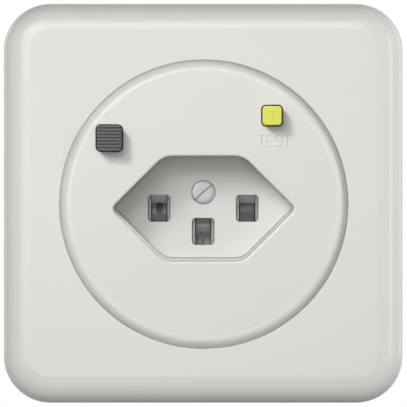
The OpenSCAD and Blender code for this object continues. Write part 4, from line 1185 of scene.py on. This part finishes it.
def letter_t(x, w, foot, h):
    return [[(x - w / 2, foot + h), (x + w / 2, foot + h)], [(x, foot + h), (x, foot)]]


def letter_e(x, w, foot, h):
    spine = [(x + w, foot), (x, foot), (x, foot + h), (x + w, foot + h)]
    return [spine, [(x, foot + BAR_AT * h), (x + BAR_SHARE * w, foot + BAR_AT * h)]]


def letter_s(x, w, foot, h):
    r = h / 4
    upper, lower = arc(0, 0, 1, 30, 270, 14), arc(0, 0, 1, 90, -150, 14)
    bend = [(x + w / 2 * px, foot + h - r + pz * r) for px, pz in upper]
    bend += [(x + w / 2 * px, foot + r + pz * r) for px, pz in lower[1:]]
    return [bend]


# %% Word and initial
LETTER_H, LETTER_FOOT, WORD_LINE, WORD_SINK = 2.46, 12.38, 0.2, 0.06
INITIAL_W, INITIAL_H, INITIAL_DROP, INITIAL_LINE, INITIAL_SINK = 1.7, 2.1, 1.15, 0.13, 0.04
WORD = ((letter_t, 12.35, 1.55), (letter_e, 13.5, 1.3), (letter_s, 16.15, 1.5), (letter_t, 17.95, 1.5))

word = [stroke for letter, x, w in WORD for stroke in letter(x, w, LETTER_FOOT, LETTER_H)]
marks("test_word", word, PLATE_FACE + WORD_SINK, WORD_LINE, "outlet", "white_plastic")
initial = letter_t(TEST_AT[0], INITIAL_W, TEST_AT[1] - INITIAL_DROP, INITIAL_H)
marks("test_initial", initial, TEST_FACE + INITIAL_SINK, INITIAL_LINE, "test_button", "yellow_button")

# %% [markdown]
# ## Springs
# A wire spring under each button pushes it back out, and two more open the contacts. A spring is a
# spiral with a round wire swept along it, so Geometry Nodes makes them all from four sizes.

# %% Spring tree
TURN_STEPS, WIRE_SIDES = 28, 10

spring_tree, start, end = geometry_tree("wire_spring", {
    "Turns": 5.0, "Coil Radius": 2 * MM, "Length": 8 * MM, "Wire Radius": 0.2 * MM,
})
given = start.outputs
spiral = add(spring_tree, "GeometryNodeCurveSpiral", {
    "Resolution": TURN_STEPS,
    "Rotations": given["Turns"],
    "Start Radius": given["Coil Radius"],
    "End Radius": given["Coil Radius"],
    "Height": given["Length"],
})
wire = swept(spring_tree, spiral.outputs["Curve"], given["Wire Radius"], WIRE_SIDES)
handed_out(spring_tree, wire, start, end)

# %% Spring helper
WIRE_D, END_GAP = 0.45, 0.04


def spring(node, name, axes, turns):
    """Springs that stand for the solid, one on each axis (x, z) in mm."""
    low, high = (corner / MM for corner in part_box(node))
    coil_r = (high.z - low.z - WIRE_D) / 2
    length = high.y - low.y
    values = {
        "Turns": turns,
        "Coil Radius": coil_r * MM,
        "Length": (length - WIRE_D - 2 * END_GAP) * MM,
        "Wire Radius": WIRE_D / 2 * MM,
        "Material": finish[slot_of[node]],
    }
    bm = bmesh.new()
    for x, z in axes:
        wire = grown(spring_tree, name, values)
        for v in wire.vertices:
            a, b, depth = v.co
            v.co = (x * MM + a, (low.y + END_GAP + WIRE_D / 2) * MM + depth, z * MM - b)
        bm.from_mesh(wire)
        bpy.data.meshes.remove(wire)
    bmesh.ops.recalc_face_normals(bm, faces=bm.faces)
    piece = settled(mesh_of(bm, name), name, "outlet", slot_of[node], ROUND, [node])
    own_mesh(piece)


# %% Springs
BUTTON_TURNS, OPENING_TURNS = 5.0, 10.0

spring("reset_spring", "reset_coil", [RESET_STEM_AT], BUTTON_TURNS)
spring("test_spring", "test_coil", [TEST_STEM_AT], BUTTON_TURNS)
low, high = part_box("opening_springs")
middle = (low.z + high.z) / 2 / MM
apart = (high.x / MM) - (high.z - low.z) / 2 / MM
axes = [(-apart, middle), (apart, middle)]
spring("opening_springs", "opening_coils", axes, OPENING_TURNS)

# %% [markdown]
# ## Softened solids
# The housing behind the wall and the steel strap are right as solids, but a moulding has no knife
# edges and a stamping has a fine burr edge. A copy of each solid is cleaned, so that flat faces are
# whole again, and a Bevel modifier rounds its edges.

# %% Softened solids
SMALL_FACE = 4


def softened(node, name, width, segments):
    """Piece that stands for the solid, with its sharp edges rounded over a width in mm."""
    bm = bmesh.new()
    bm.from_mesh(nodes[node].data)
    bmesh.ops.transform(bm, matrix=nodes[node].matrix_world, verts=bm.verts)
    bmesh.ops.remove_doubles(bm, verts=bm.verts, dist=0.001 * MM)
    bmesh.ops.dissolve_limit(bm, angle_limit=math.radians(1), verts=bm.verts, edges=bm.edges)
    blank = placed(name + "_blank", mesh_of(bm, name))
    soft = eased_mesh(blank, width, segments, limit=40)
    bpy.data.objects.remove(blank)
    settled(soft, name, "outlet", slot_of[node], SHARP, [node])
    for face in soft.polygons:
        face.use_smooth = face.area < SMALL_FACE * MM ** 2


softened("rear_housing", "housing_back", width=0.6, segments=3)
softened("mounting_strap", "stamped_strap", width=0.2, segments=2)

# %% [markdown]
# ## Flags
# The frame shows an even light, while plate and buttons stand in the slanting light of the two lamps
# up left. A photographer shades a part with flags; here each lamp has a list of what it lights. The
# frame and the rim are left out of the slanting lamps' lists, and the lamps made for them light
# nothing else. The shell throws no shadow of the two lamps that reach the rim, which would
# otherwise darken the groove.

# %% Flags
rim_piece = bpy.data.objects["plate_ring"]
shell = bpy.data.objects["cover_shell"]
frame_pieces = [shell, bpy.data.objects["frame_ribs"], rim_piece]


def listed(name, pieces, state):
    """New list of pieces that a lamp leaves out or is kept for."""
    group = bpy.data.collections.new(name)
    for piece in pieces:
        group.objects.link(piece)
    for entry in group.collection_objects:
        entry.light_linking.link_state = state
    return group


for flagged in (corner_lamp, upper_lamp):
    flagged.light_linking.receiver_collection = listed(flagged.name + "_list", frame_pieces, "EXCLUDE")
for own in (frame_lamp, gloss_lamp, left_gloss_lamp, side_lamp, right_lamp, left_lamp):
    own.light_linking.receiver_collection = listed(own.name + "_list", frame_pieces, "INCLUDE")
ring_lamp.light_linking.receiver_collection = listed("ring_lamp_list", [rim_piece], "INCLUDE")
clear = listed("unshaded_list", [shell], "EXCLUDE")
for unshaded in (frame_lamp, ring_lamp):
    unshaded.light_linking.blocker_collection = clear
print("flags set for", [piece.name for piece in frame_pieces])
